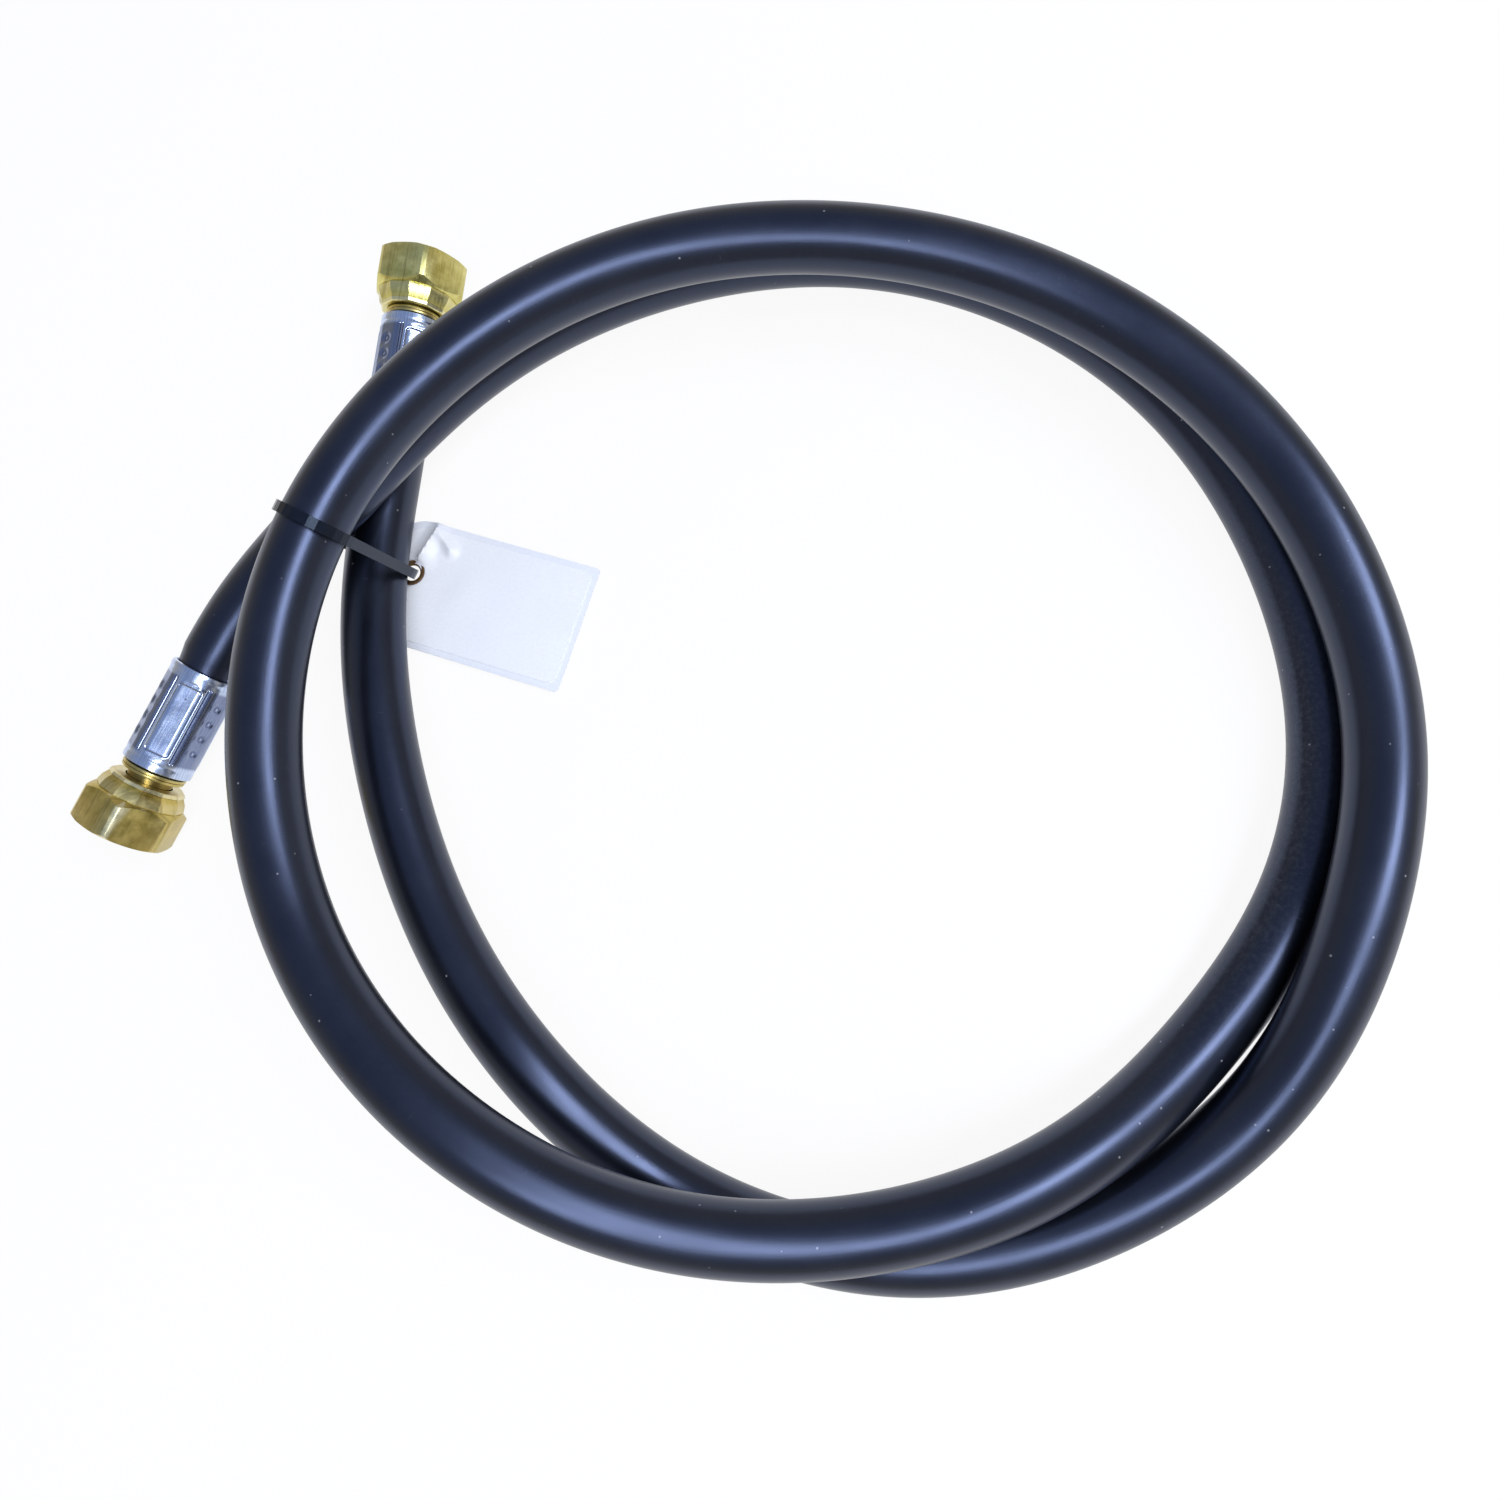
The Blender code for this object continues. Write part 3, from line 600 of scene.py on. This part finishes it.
def fitting_frames():
    """The matrix of each fitting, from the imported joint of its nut."""
    places = {}
    for joint in frame["record"]["behaviour"]["joints"]:
        if joint["name"].startswith("nut_"):
            end = joint["name"][4]
            axis = Vector(joint["axis"]).normalized()
            base = Vector(joint["pos_m"]) - axis * NUT_BACK[end]
            turn = axis.to_track_quat("Z", "Y").to_matrix().to_4x4()
            places[end] = Matrix.Translation(base) @ turn
    return places


def smooth_step(value, low, high):
    share = np.clip((value - low) / (high - low), 0, 1)
    return share * share * (3 - 2 * share)


def swell(distance, width):
    """A soft ridge: 1 at distance 0, and fading over the width."""
    return np.exp(-((distance / width) ** 2))


def panel_relief(across, along):
    """The height and painted shade of a sunk panel with a raised rim, from the middle of its face.
    """
    past_side = np.maximum(np.abs(across) - PANEL_HALF_WIDTH + PANEL_CORNER, 0)
    past_end = max(abs(along) - PANEL_HALF_LENGTH + PANEL_CORNER, 0)
    far = np.hypot(past_side, past_end)
    sunk = 1 - smooth_step(far, 0.00065, 0.0010)
    relief = PANEL_RIM * swell(far - 0.0013, 0.00028) - PANEL_DEPTH * sunk
    # painted shade in the groove round the sunk panel
    return relief, 0.55 * swell(far - 0.00085, 0.00022)


def dimple_relief(across, along):
    """The height and painted shade of a row of dimples, each with a boss in its middle."""
    # painted shade of 0.62 over the whole dimpled face
    relief, painted_shade = np.zeros(len(across)), np.full(len(across), 0.62)
    for place in range(DIMPLE_COUNT):
        spot = (place - (DIMPLE_COUNT - 1) / 2) * DIMPLE_PITCH
        ring = np.hypot(across, along - spot)
        bowl = 1 - smooth_step(ring, 0.0005, DIMPLE_RADIUS)
        boss = swell(ring, 0.00042)
        relief -= DIMPLE_DEPTH * bowl - DIMPLE_BOSS * boss
        relief += DIMPLE_RIM * swell(ring - DIMPLE_RADIUS - 0.0002, 0.00022)
        # painted shade deepest in each bowl and cleared on each boss
        painted_shade = np.maximum(painted_shade, 0.95 * bowl) - 0.9 * boss
    return relief, painted_shade


def ferrule_heights():
    """Ring heights along the ferrule, closer together at its ends."""
    end, front = 0.0042, FERRULE_LENGTH
    back_end = np.linspace(0.0002, end, 22)
    middle = np.linspace(end, front - end, 96)
    front_end = np.linspace(front - end, front - 0.0004, 22)
    return np.unique(np.concatenate([back_end, middle, front_end]))


def ferrule_mesh(name, turn):
    """A crimped sleeve: six pressed faces, panels on three of them and dimples on the others, with
    its painted shade kept in the shade attribute.
    """
    angles = np.linspace(0, 2 * pi, FERRULE_SIDES, endpoint=False)
    pitch = 2 * pi / CRIMP_COUNT
    face = np.round((angles - turn) / pitch)
    off = (angles - turn) - face * pitch
    dimpled = face.astype(int) % 2 == 1
    across = off * FERRULE_RADIUS
    front = FERRULE_LENGTH
    even = np.ones(FERRULE_SIDES)
    stations = [(even * (FERRULE_RADIUS - 0.0005), 0.0)]
    painted_shades = [even * 0]
    for height in ferrule_heights():
        reach = even * (FERRULE_RADIUS - FERRULE_SWELL * (1 - swell(height - 0.0010, 0.0007)))
        pressed = smooth_step(height, CRIMP_BACK, CRIMP_BACK + CRIMP_FADE)
        pressed *= 1 - smooth_step(height, CRIMP_FRONT - CRIMP_FADE, CRIMP_FRONT)
        flat = np.minimum(reach, (FERRULE_RADIUS - CRIMP_DEPTH) / np.cos(off))
        seam = swell(np.abs(off) - SEAM_BEARING, radians(1.3))
        reach = reach * (1 - pressed) + (flat - SEAM_DEPTH * seam) * pressed
        panel, panel_painted_shade = panel_relief(across, height - CRIMP_MIDDLE)
        dimples, dimple_painted_shade = dimple_relief(across, height - CRIMP_MIDDLE)
        reach = reach + np.where(dimpled, dimples, panel) * (pressed > 0.98)
        # painted shade from the panels or dimples, and along each seam between the pressed faces
        painted_shade = np.where(dimpled, dimple_painted_shade, panel_painted_shade)
        painted_shade = np.maximum(painted_shade, 0.85 * swell(np.abs(off) - SEAM_BEARING, radians(1.5)))
        painted_shades.append(np.clip(painted_shade, 0, 1) * pressed)
        stations.append((reach - 0.00012 * swell(height - (front - 0.0022), 0.0004), height))
    stations += [
        (even * (FERRULE_RADIUS - 0.0007), front - 0.00008),
        (even * (FERRULE_RADIUS - 0.0012), front),
        (even * LIP_RADIUS, front),
        (even * LIP_RADIUS, front - LIP_LENGTH),
        (even * FERRULE_BORE, front - LIP_LENGTH),
        (even * FERRULE_BORE, 0.0005),
        (even * (FERRULE_BORE + 0.0002), 0.0),
    ]
    painted_shades += [even * 0] * (len(stations) - len(painted_shades))
    rings = [
        np.stack([reach * np.cos(angles), reach * np.sin(angles), even * height], 1)
        for reach, height in stations
    ]
    uvs = [np.stack([angles / (2 * pi), even * height * 20], 1) for _, height in stations]
    mesh = grid_mesh(name, rings, uvs)
    mesh.attributes.new("shade", "FLOAT", "POINT").data.foreach_set("value", np.ravel(painted_shades))
    return mesh


def stem_mesh(name):
    """Barbs, shoulder and groove, then two collar rolls, neck, retaining head and cone nose."""
    profile = []
    for index in range(BARB_COUNT):
        start = STEM_BACK + index * BARB_PITCH
        profile += [(start, BARB_ROOT, 0), (start + BARB_LENGTH, BARB_RADIUS, 1)]
    shoulder_front = SHOULDER_BACK + SHOULDER_LENGTH
    collar_back = FERRULE_LENGTH + GAP
    collar_front = collar_back + COLLAR_LENGTH
    middle = (collar_back + collar_front) / 2
    head_back = NUT_BACK["b"] + BACK_LIP + GAP
    nose = head_back + HEAD_LENGTH + NOSE_LENGTH
    profile += [
        (SHOULDER_BACK, BARB_ROOT, 0),
        (SHOULDER_BACK, SHOULDER_RADIUS, 1),
        (shoulder_front, SHOULDER_RADIUS, 1),
        (shoulder_front, GROOVE_RADIUS, 0),
        (collar_back, GROOVE_RADIUS, 0),
        (collar_back, COLLAR_RADIUS, 1),
        (middle - 0.0001, COLLAR_RADIUS, 1),
        (middle - 0.0001, COLLAR_RADIUS - 0.0004, 0),
        (middle + 0.00005, COLLAR_RADIUS - 0.0004, 0),
        (middle + 0.00005, COLLAR_RADIUS - 0.00008, 1),
        (collar_front, COLLAR_RADIUS - 0.00015, 1),
        (collar_front, NECK_RADIUS, 0),
        (head_back, NECK_RADIUS, 0),
        (head_back, HEAD_RADIUS, 1),
        (head_back + HEAD_LENGTH, HEAD_RADIUS, 1),
        (nose, STEM_BORE_RADIUS + NOSE_WALL, 1),
        (nose, STEM_BORE_RADIUS, 1),
        (STEM_BACK, STEM_BORE_RADIUS, 1),
    ]
    return lathe(name, rounded(profile, STEM_EDGE), 96)


def cut(body, tool, operation):
    step = body.modifiers.new(operation.lower(), "BOOLEAN")
    step.operation = operation
    step.object = tool


def soften(body, width, angle):
    """Bevels the edges that turn by more than the angle."""
    step = body.modifiers.new("edges", "BEVEL")
    step.width = width
    step.segments = 2
    step.limit_method = "ANGLE"
    step.angle_limit = angle


def helper(mesh):
    made = bpy.data.objects.new(mesh.name, mesh)
    bpy.context.scene.collection.objects.link(made)
    return made


def closed_mesh(name, shape):
    """The mesh of a closed shape, with its faces turned outward. The shape is freed."""
    bmesh.ops.recalc_face_normals(shape, faces=shape.faces[:])
    mesh = bpy.data.meshes.new(name)
    shape.to_mesh(mesh)
    shape.free()
    return mesh


def solid(name, profile, sides, turn=0.0):
    """A solid of revolution from a profile of (height, radius), with a cap at each end."""
    shape = bmesh.new()
    rings = []
    for height, radius in profile:
        angles = [2 * pi * side / sides + turn for side in range(sides)]
        rings.append([shape.verts.new((radius * cos(a), radius * sin(a), height)) for a in angles])
    for ring, following in zip(rings, rings[1:]):
        for index in range(sides):
            onward = (index + 1) % sides
            shape.faces.new((ring[index], ring[onward], following[onward], following[index]))
    shape.faces.new(rings[0])
    shape.faces.new(rings[-1])
    return closed_mesh(name, shape)


def baked(piece):
    """The mesh of an object with its modifiers applied. The object is removed."""
    bpy.context.view_layer.update()
    graph = bpy.context.evaluated_depsgraph_get()
    mesh = bpy.data.meshes.new_from_object(piece.evaluated_get(graph))
    bpy.data.objects.remove(piece)
    return mesh


def hexagon_blank():
    """The hexagon and the turned envelope that chamfers both of its ends."""
    mouth, back = NUT_LENGTH, TAPER_LENGTH
    full, corner = NUT_FLATS / 2 / cos(pi / 6), NUT_CORNERS / 2
    body = helper(solid("nut_blank", [(back, full), (mouth + 0.001, full)], 6))
    turned = [
        (back - 0.001, NUT_FLATS / 2 - 0.0014),
        (back + 0.0001, NUT_FLATS / 2 - 0.0003),
        (back + 0.0014, corner),
        (mouth - 0.0008, corner),
        (mouth - 0.0002, NUT_FLATS / 2 + 0.0005),
        (mouth, NUT_FLATS / 2 - 0.0002),
    ]
    envelope = helper(solid("nut_envelope", turned, 144))
    cut(body, envelope, "INTERSECT")
    soften(body, NUT_EDGE, radians(40))
    return body, envelope


def taper_blank():
    """The faceted taper behind the hexagon, with a rolled rim at its foot."""
    profile = [
        (0, TAPER_BACK_RADIUS - 0.0003),
        (0.0002, TAPER_BACK_RADIUS),
        (0.0009, TAPER_BACK_RADIUS + 0.0003),
        (0.0011, TAPER_BACK_RADIUS + 0.0001),
        (TAPER_LENGTH * 0.55, TAPER_BACK_RADIUS + 0.0011),
        (TAPER_LENGTH - 0.0004, TAPER_FRONT_RADIUS),
        (TAPER_LENGTH + 0.0012, TAPER_FRONT_RADIUS - 0.0002),
    ]
    return helper(solid("nut_taper", profile, TAPER_FACETS, pi / TAPER_FACETS))


def nut_bore():
    """What the nut's hollow takes away, from the back lip to the countersunk mouth."""
    root = THREAD_RADIUS + THREAD_DEPTH
    profile = [
        (-0.001, NECK_RADIUS + GAP),
        (BACK_LIP, NECK_RADIUS + GAP),
        (BACK_LIP, root),
        (NUT_LENGTH - 0.0007, root),
        (NUT_LENGTH + 0.001, root + 0.0017),
    ]
    return helper(solid("nut_bore", profile, 96))


def nut_mesh(name):
    """A chamfered hexagon with a faceted taper behind it, hollow from end to end."""
    body, envelope = hexagon_blank()
    taper, bore = taper_blank(), nut_bore()
    cut(body, taper, "UNION")
    cut(body, bore, "DIFFERENCE")
    mesh = baked(body)
    for tool in (envelope, taper, bore):
        bpy.data.objects.remove(tool)
    mesh.name = name
    layer = mesh.uv_layers.new(name="UVMap")
    for loop in mesh.loops:
        point = mesh.vertices[loop.vertex_index].co
        layer.data[loop.index].uv = (point.x * 900 + point.y * 700, point.z * 30)
    return mesh


def thread_mesh(name):
    """The internal thread's helical ridge, with its crest at the minor diameter."""
    start, end = BACK_LIP + 0.0002, NUT_LENGTH - 0.0010
    steps = int((end - start) / THREAD_PITCH * 60)
    root = THREAD_RADIUS + THREAD_DEPTH + 0.0002
    rings = []
    for step in range(steps + 1):
        share = step / steps
        angle = 2 * pi * (end - start) / THREAD_PITCH * share
        height = start + 0.0004 + (end - start - 0.0008) * share
        fade = min(1, 8 * share, 8 * (1 - share))
        crest = root - (THREAD_DEPTH + 0.0002) * max(fade, 0.05)
        section = [(root, -0.00058), (crest, -0.0001), (crest, 0.0001), (root, 0.00058)]
        rings.append([(r * cos(angle), r * sin(angle), height + z) for r, z in section])
    shape = bmesh.new()
    rows = [[shape.verts.new(point) for point in ring] for ring in rings]
    for row, following in zip(rows, rows[1:]):
        for index in range(4):
            onward = (index + 1) % 4
            shape.faces.new((row[index], row[onward], following[onward], following[index]))
    shape.faces.new(rows[0])
    shape.faces.new(rows[-1])
    return closed_mesh(name, shape)


# ---------------------------------------------------------------- tie and tag


def tie_mesh():
    """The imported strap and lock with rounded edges."""
    copy = frame["nodes"]["cable_tie"].data.copy()
    copy.name = "tie"
    made = helper(copy)
    soften(made, TIE_EDGE, radians(50))
    return baked(made)


def tag_outline(margin, corner, cut_corner):
    """The card's outline, or the label's inside it. One corner is cut rounder than the rest."""
    left, right = -TAG_HOLE_INSET + margin, TAG_LENGTH - TAG_HOLE_INSET - margin
    low, high = -TAG_BELOW + margin, TAG_ABOVE - margin
    spots = [
        (left, low, 1, 1, pi, corner),
        (right, low, -1, 1, 1.5 * pi, corner),
        (right, high, -1, -1, 0, corner),
        (left, high, 1, -1, 0.5 * pi, cut_corner),
    ]
    outline = []
    for x, y, side, up, start, radius in spots:
        for step in range(13):
            angle = start + pi / 2 * step / 12
            across, along = x + side * radius, y + up * radius
            outline.append((across + radius * cos(angle), along + radius * sin(angle)))
    return outline


def fold(x, y, start, end, height, width):
    """The height of a soft crease between two points."""
    along = Vector(end) - Vector(start)
    reach = Vector((x, y)) - Vector(start)
    share = min(max(reach.dot(along) / along.length_squared, 0), 1)
    away = (reach - along * share).length
    return height * max(0.0, 1 - away / width) ** 1.5 * min(1, 3.0 * share + 0.15)


def swing_room(x, y):
    """The room above a spot of the card where its swing takes it furthest under the hose."""
    aside = min(abs(SWUNG_X * x + SWUNG_Y * y + SWUNG_HOLE), HOSE_RADIUS)
    return SWUNG_HEIGHT - sqrt(HOSE_RADIUS**2 - aside**2)


def tag_lift(x, y):
    """How far the crumpled card stands above its flat place, in the tag's own frame."""
    lift = sum(fold(x, y, *crease) for crease in CREASES)
    corner = max(0.0, (y - 0.0075) / 0.0074) * max(0.0, (0.0070 - x) / 0.0110)
    lift += 0.0022 * min(corner, 1.2) ** 1.4
    disc = ((x - 0.0027) ** 2 + (y - 0.0039) ** 2) ** 0.5
    lift += 0.00016 * (1 - min(1, max(0, (disc - 0.0024) / 0.0003)))
    lift += 0.00035 * noise.noise(Vector((x * 90, y * 90, 4.0))) * min(1, max(0, 1.3 - x / 0.03))
    lift += 0.0005 * max(0.0, x - 0.02) / 0.03 * (0.6 + 0.4 * sin(y * 140))
    return max(min(lift, swing_room(x, y)), 0.0)


def thicken(shape, height):
    """Extrudes the flat shape upward."""
    grown = bmesh.ops.extrude_face_region(shape, geom=shape.faces[:])["geom"]
    top = [item for item in grown if isinstance(item, bmesh.types.BMVert)]
    bmesh.ops.translate(shape, verts=top, vec=(0, 0, height))


def sheet_mesh(name, outline, hole_radius, bottom, thickness):
    """A thin plate with a round hole, cut from a grid and laid over the card's lift."""
    xs = [x for x, _ in outline]
    ys = [y for _, y in outline]
    width, height = max(xs) - min(xs) + 0.002, max(ys) - min(ys) + 0.002
    middle = ((max(xs) + min(xs)) / 2, (max(ys) + min(ys)) / 2, 0)
    blank = bmesh.new()
    rows = int(SHEET_CELLS * 0.62)
    bmesh.ops.create_grid(blank, x_segments=SHEET_CELLS, y_segments=rows, size=0.5)
    blank.transform(Matrix.Translation(middle) @ Matrix.Diagonal((width, height, 1, 1)))
    thicken(blank, thickness)
    body = helper(closed_mesh(name, blank))
    shape = bmesh.new()
    shape.faces.new([shape.verts.new((x, y, -0.002)) for x, y in outline])
    thicken(shape, 0.004)
    border = helper(closed_mesh(name + "_border", shape))
    hole = helper(solid(name + "_hole", [(-0.003, hole_radius), (0.003, hole_radius)], 48))
    cut(body, border, "INTERSECT")
    cut(body, hole, "DIFFERENCE")
    made = baked(body)
    bpy.data.objects.remove(border)
    bpy.data.objects.remove(hole)
    turn = Matrix.Rotation(TAG_HEADING, 4, "Z")
    for vertex in made.vertices:
        x, y, z = vertex.co
        lifted = Vector((x, y, z + tag_lift(x, y)))
        vertex.co = turn @ lifted + Vector((HOLE.x, HOLE.y, bottom))
    made.name = name
    return made


# ---------------------------------------------------------------- assembly

RUBBER = rubber_material()
BRASS_A = brass_material("brass_a", (0.56, 0.50, 0.14), (0.84, 0.77, 0.30))
BRASS_B = brass_material("brass_b", (0.42, 0.32, 0.07), (0.70, 0.55, 0.18))
ZINC = zinc_material()
NYLON = nylon_material()
CARD = paper_material("card", (0.89, 0.90, 0.955))
LABEL = paper_material("label", (0.955, 0.955, 0.985))
FIBRE = fibre_material()

joints = {joint["name"]: joint for joint in frame["record"]["behaviour"]["joints"]}
HOLE = Vector(joints["tag_swivel"]["pos_m"])

hose, hose_path, hose_length = hose_piece()
fittings = fitting_frames()
for end, place in fittings.items():
    body = "nut_" + end
    ferrule = ferrule_mesh("ferrule_" + end + "_sleeve", PANEL_TURN[end])
    stem = stem_mesh("stem_" + end + "_turned")
    for mesh in (ferrule, stem):
        mesh.transform(place)
    pieces = [
        add_piece("crimped_sleeve_" + end, ferrule, ZINC, "hose", ("ferrule_" + end,), 25),
        add_piece("barbed_stem_" + end, stem, BRASS_B, "hose", ("stem_" + end,), 30),
    ]
    seat = place @ Matrix.Translation((0, 0, NUT_BACK[end])) @ Matrix.Rotation(ROLL[end], 4, "Z")
    nut, thread = nut_mesh("nut_body_" + end), thread_mesh("nut_thread_" + end)
    for mesh in (nut, thread):
        mesh.transform(seat)
    brass = BRASS_A if end == "a" else BRASS_B
    pieces += [
        add_piece("swivel_hexagon_" + end, nut, brass, body, ("swivel_nut_" + end,), 25),
        add_piece("swivel_thread_" + end, thread, brass, body, (), 60),
    ]

add_piece("tie", tie_mesh(), NYLON, "hose", ("cable_tie",), 40)

low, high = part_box("tag_card")
card_bottom = low[2]
card_thickness = high[2] - low[2]
card_top = card_bottom + card_thickness
label_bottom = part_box("tag_label")[0][2]
card_outline = tag_outline(0, TAG_CORNER, TAG_CUT_CORNER)
card_mesh = sheet_mesh("card", card_outline, TAG_HOLE_RADIUS, card_bottom, card_thickness)
add_piece("card", card_mesh, CARD, "tag", ("tag_card",), 30)
label_outline = tag_outline(LABEL_MARGIN, LABEL_CORNER, LABEL_CUT_CORNER)
label_mesh = sheet_mesh(
    "label_sheet", label_outline, LABEL_HOLE_RADIUS, label_bottom, LABEL_THICKNESS
)
add_piece("label_sheet", label_mesh, LABEL, "tag", ("tag_label",), 30)
rim = lathe(
    "hole_rim",
    [
        (card_bottom, TAG_HOLE_RADIUS - 0.0004),
        (card_bottom, TAG_HOLE_RADIUS + 0.0001),
        (card_top + 0.0003, TAG_HOLE_RADIUS + 0.0009),
        (card_top + 0.00045, TAG_HOLE_RADIUS + 0.0005),
        (card_top + 0.0001, TAG_HOLE_RADIUS - 0.0004),
    ],
    64,
)
rim.transform(Matrix.Translation((HOLE.x, HOLE.y, 0)))
add_piece("hole_rim", rim, FIBRE, "tag")

# ---------------------------------------------------------------- studio

scene = bpy.context.scene
scene.view_settings.view_transform = "Standard"

camera_data = bpy.data.cameras.new("camera")
camera_data.sensor_width = 36
camera_data.lens = CAMERA_LENS
camera_data.clip_start = 0.005
camera = bpy.data.objects.new("camera", camera_data)
turned = Matrix((CAMERA_RIGHT, CAMERA_UP, CAMERA_BACK)).transposed().to_4x4()
camera.matrix_world = Matrix.Translation(CAMERA_PLACE) @ turned
scene.collection.objects.link(camera)
scene.camera = camera


def softbox(name, centre, power):
    """A flat rectangular strip light that faces straight down."""
    data = bpy.data.lights.new(name, "AREA")
    data.shape = "RECTANGLE"
    data.size, data.size_y = STRIP_SIZE
    data.energy = power
    data.color = STRIP_COLOUR
    light = bpy.data.objects.new(name, data)
    light.matrix_world = Matrix.Translation(centre) @ Matrix.Rotation(STRIP_HEADING, 4, "Z")
    scene.collection.objects.link(light)


softbox("strip_near", (0.21, -0.55, 1.1), 7.0)
softbox("strip_far", (0.74, 0.06, 1.1), 12.6)

# a warm horizon and a cool zenith, both white to the camera
world = bpy.data.worlds.new("studio")
world.use_nodes = True
scene.world = world
sky = world.node_tree
spot = add_node(sky, "TexCoord").outputs["Generated"]
height = add_node(sky, "SeparateXYZ", {"Vector": spot}).outputs["Z"]
rise = add_node(sky, "MapRange", {"Value": height, "From Min": 0.1, "From Max": 0.85})
glow = {"Factor": rise.outputs["Result"], 6: HORIZON, 7: ZENITH}
glow = add_node(sky, "Mix", glow, data_type="RGBA")
to_camera = add_node(sky, "LightPath").outputs["Is Camera Ray"]
shown = {"Factor": to_camera, 6: glow.outputs[2], 7: WHITE}
shown = add_node(sky, "Mix", shown, data_type="RGBA")
sky.links.new(shown.outputs[2], sky.nodes["Background"].inputs["Color"])


def floor_material():
    """Pale floor: it looks white and still takes a faint shadow."""
    made = Shader("floor", Roughness=0.9, Specular_IOR_Level=0.1)
    cloud = made.noise(made.place(), 3, 2)
    made.link(made.mix(cloud, (0.86, 0.87, 0.90), (0.90, 0.90, 0.92)), "Base Color")
    rays = made.add("LightPath").outputs
    direct = made.maths("MAXIMUM", rays["Is Camera Ray"], rays["Is Glossy Ray"])
    share = made.maths("MULTIPLY", direct, FLOOR_GLOW)
    glow = made.add("Emission", {"Color": WHITE, "Strength": 1.0})
    mixed = made.add("MixShader", {0: share, 1: made.shader.outputs[0], 2: glow.outputs[0]})
    target = made.tree.nodes["Material Output"].inputs["Surface"]
    made.tree.links.new(mixed.outputs[0], target)
    return made.material


corners = [(-1, -1), (1, -1), (1, 1), (-1, 1)]
corners = [(x * FLOOR_REACH, y * FLOOR_REACH, 0) for x, y in corners]
plane = bpy.data.meshes.new("floor")
plane.from_pydata(corners, [], [(0, 1, 2, 3)])
plane.materials.append(floor_material())
floor = bpy.data.objects.new("floor", plane)
scene.collection.objects.link(floor)
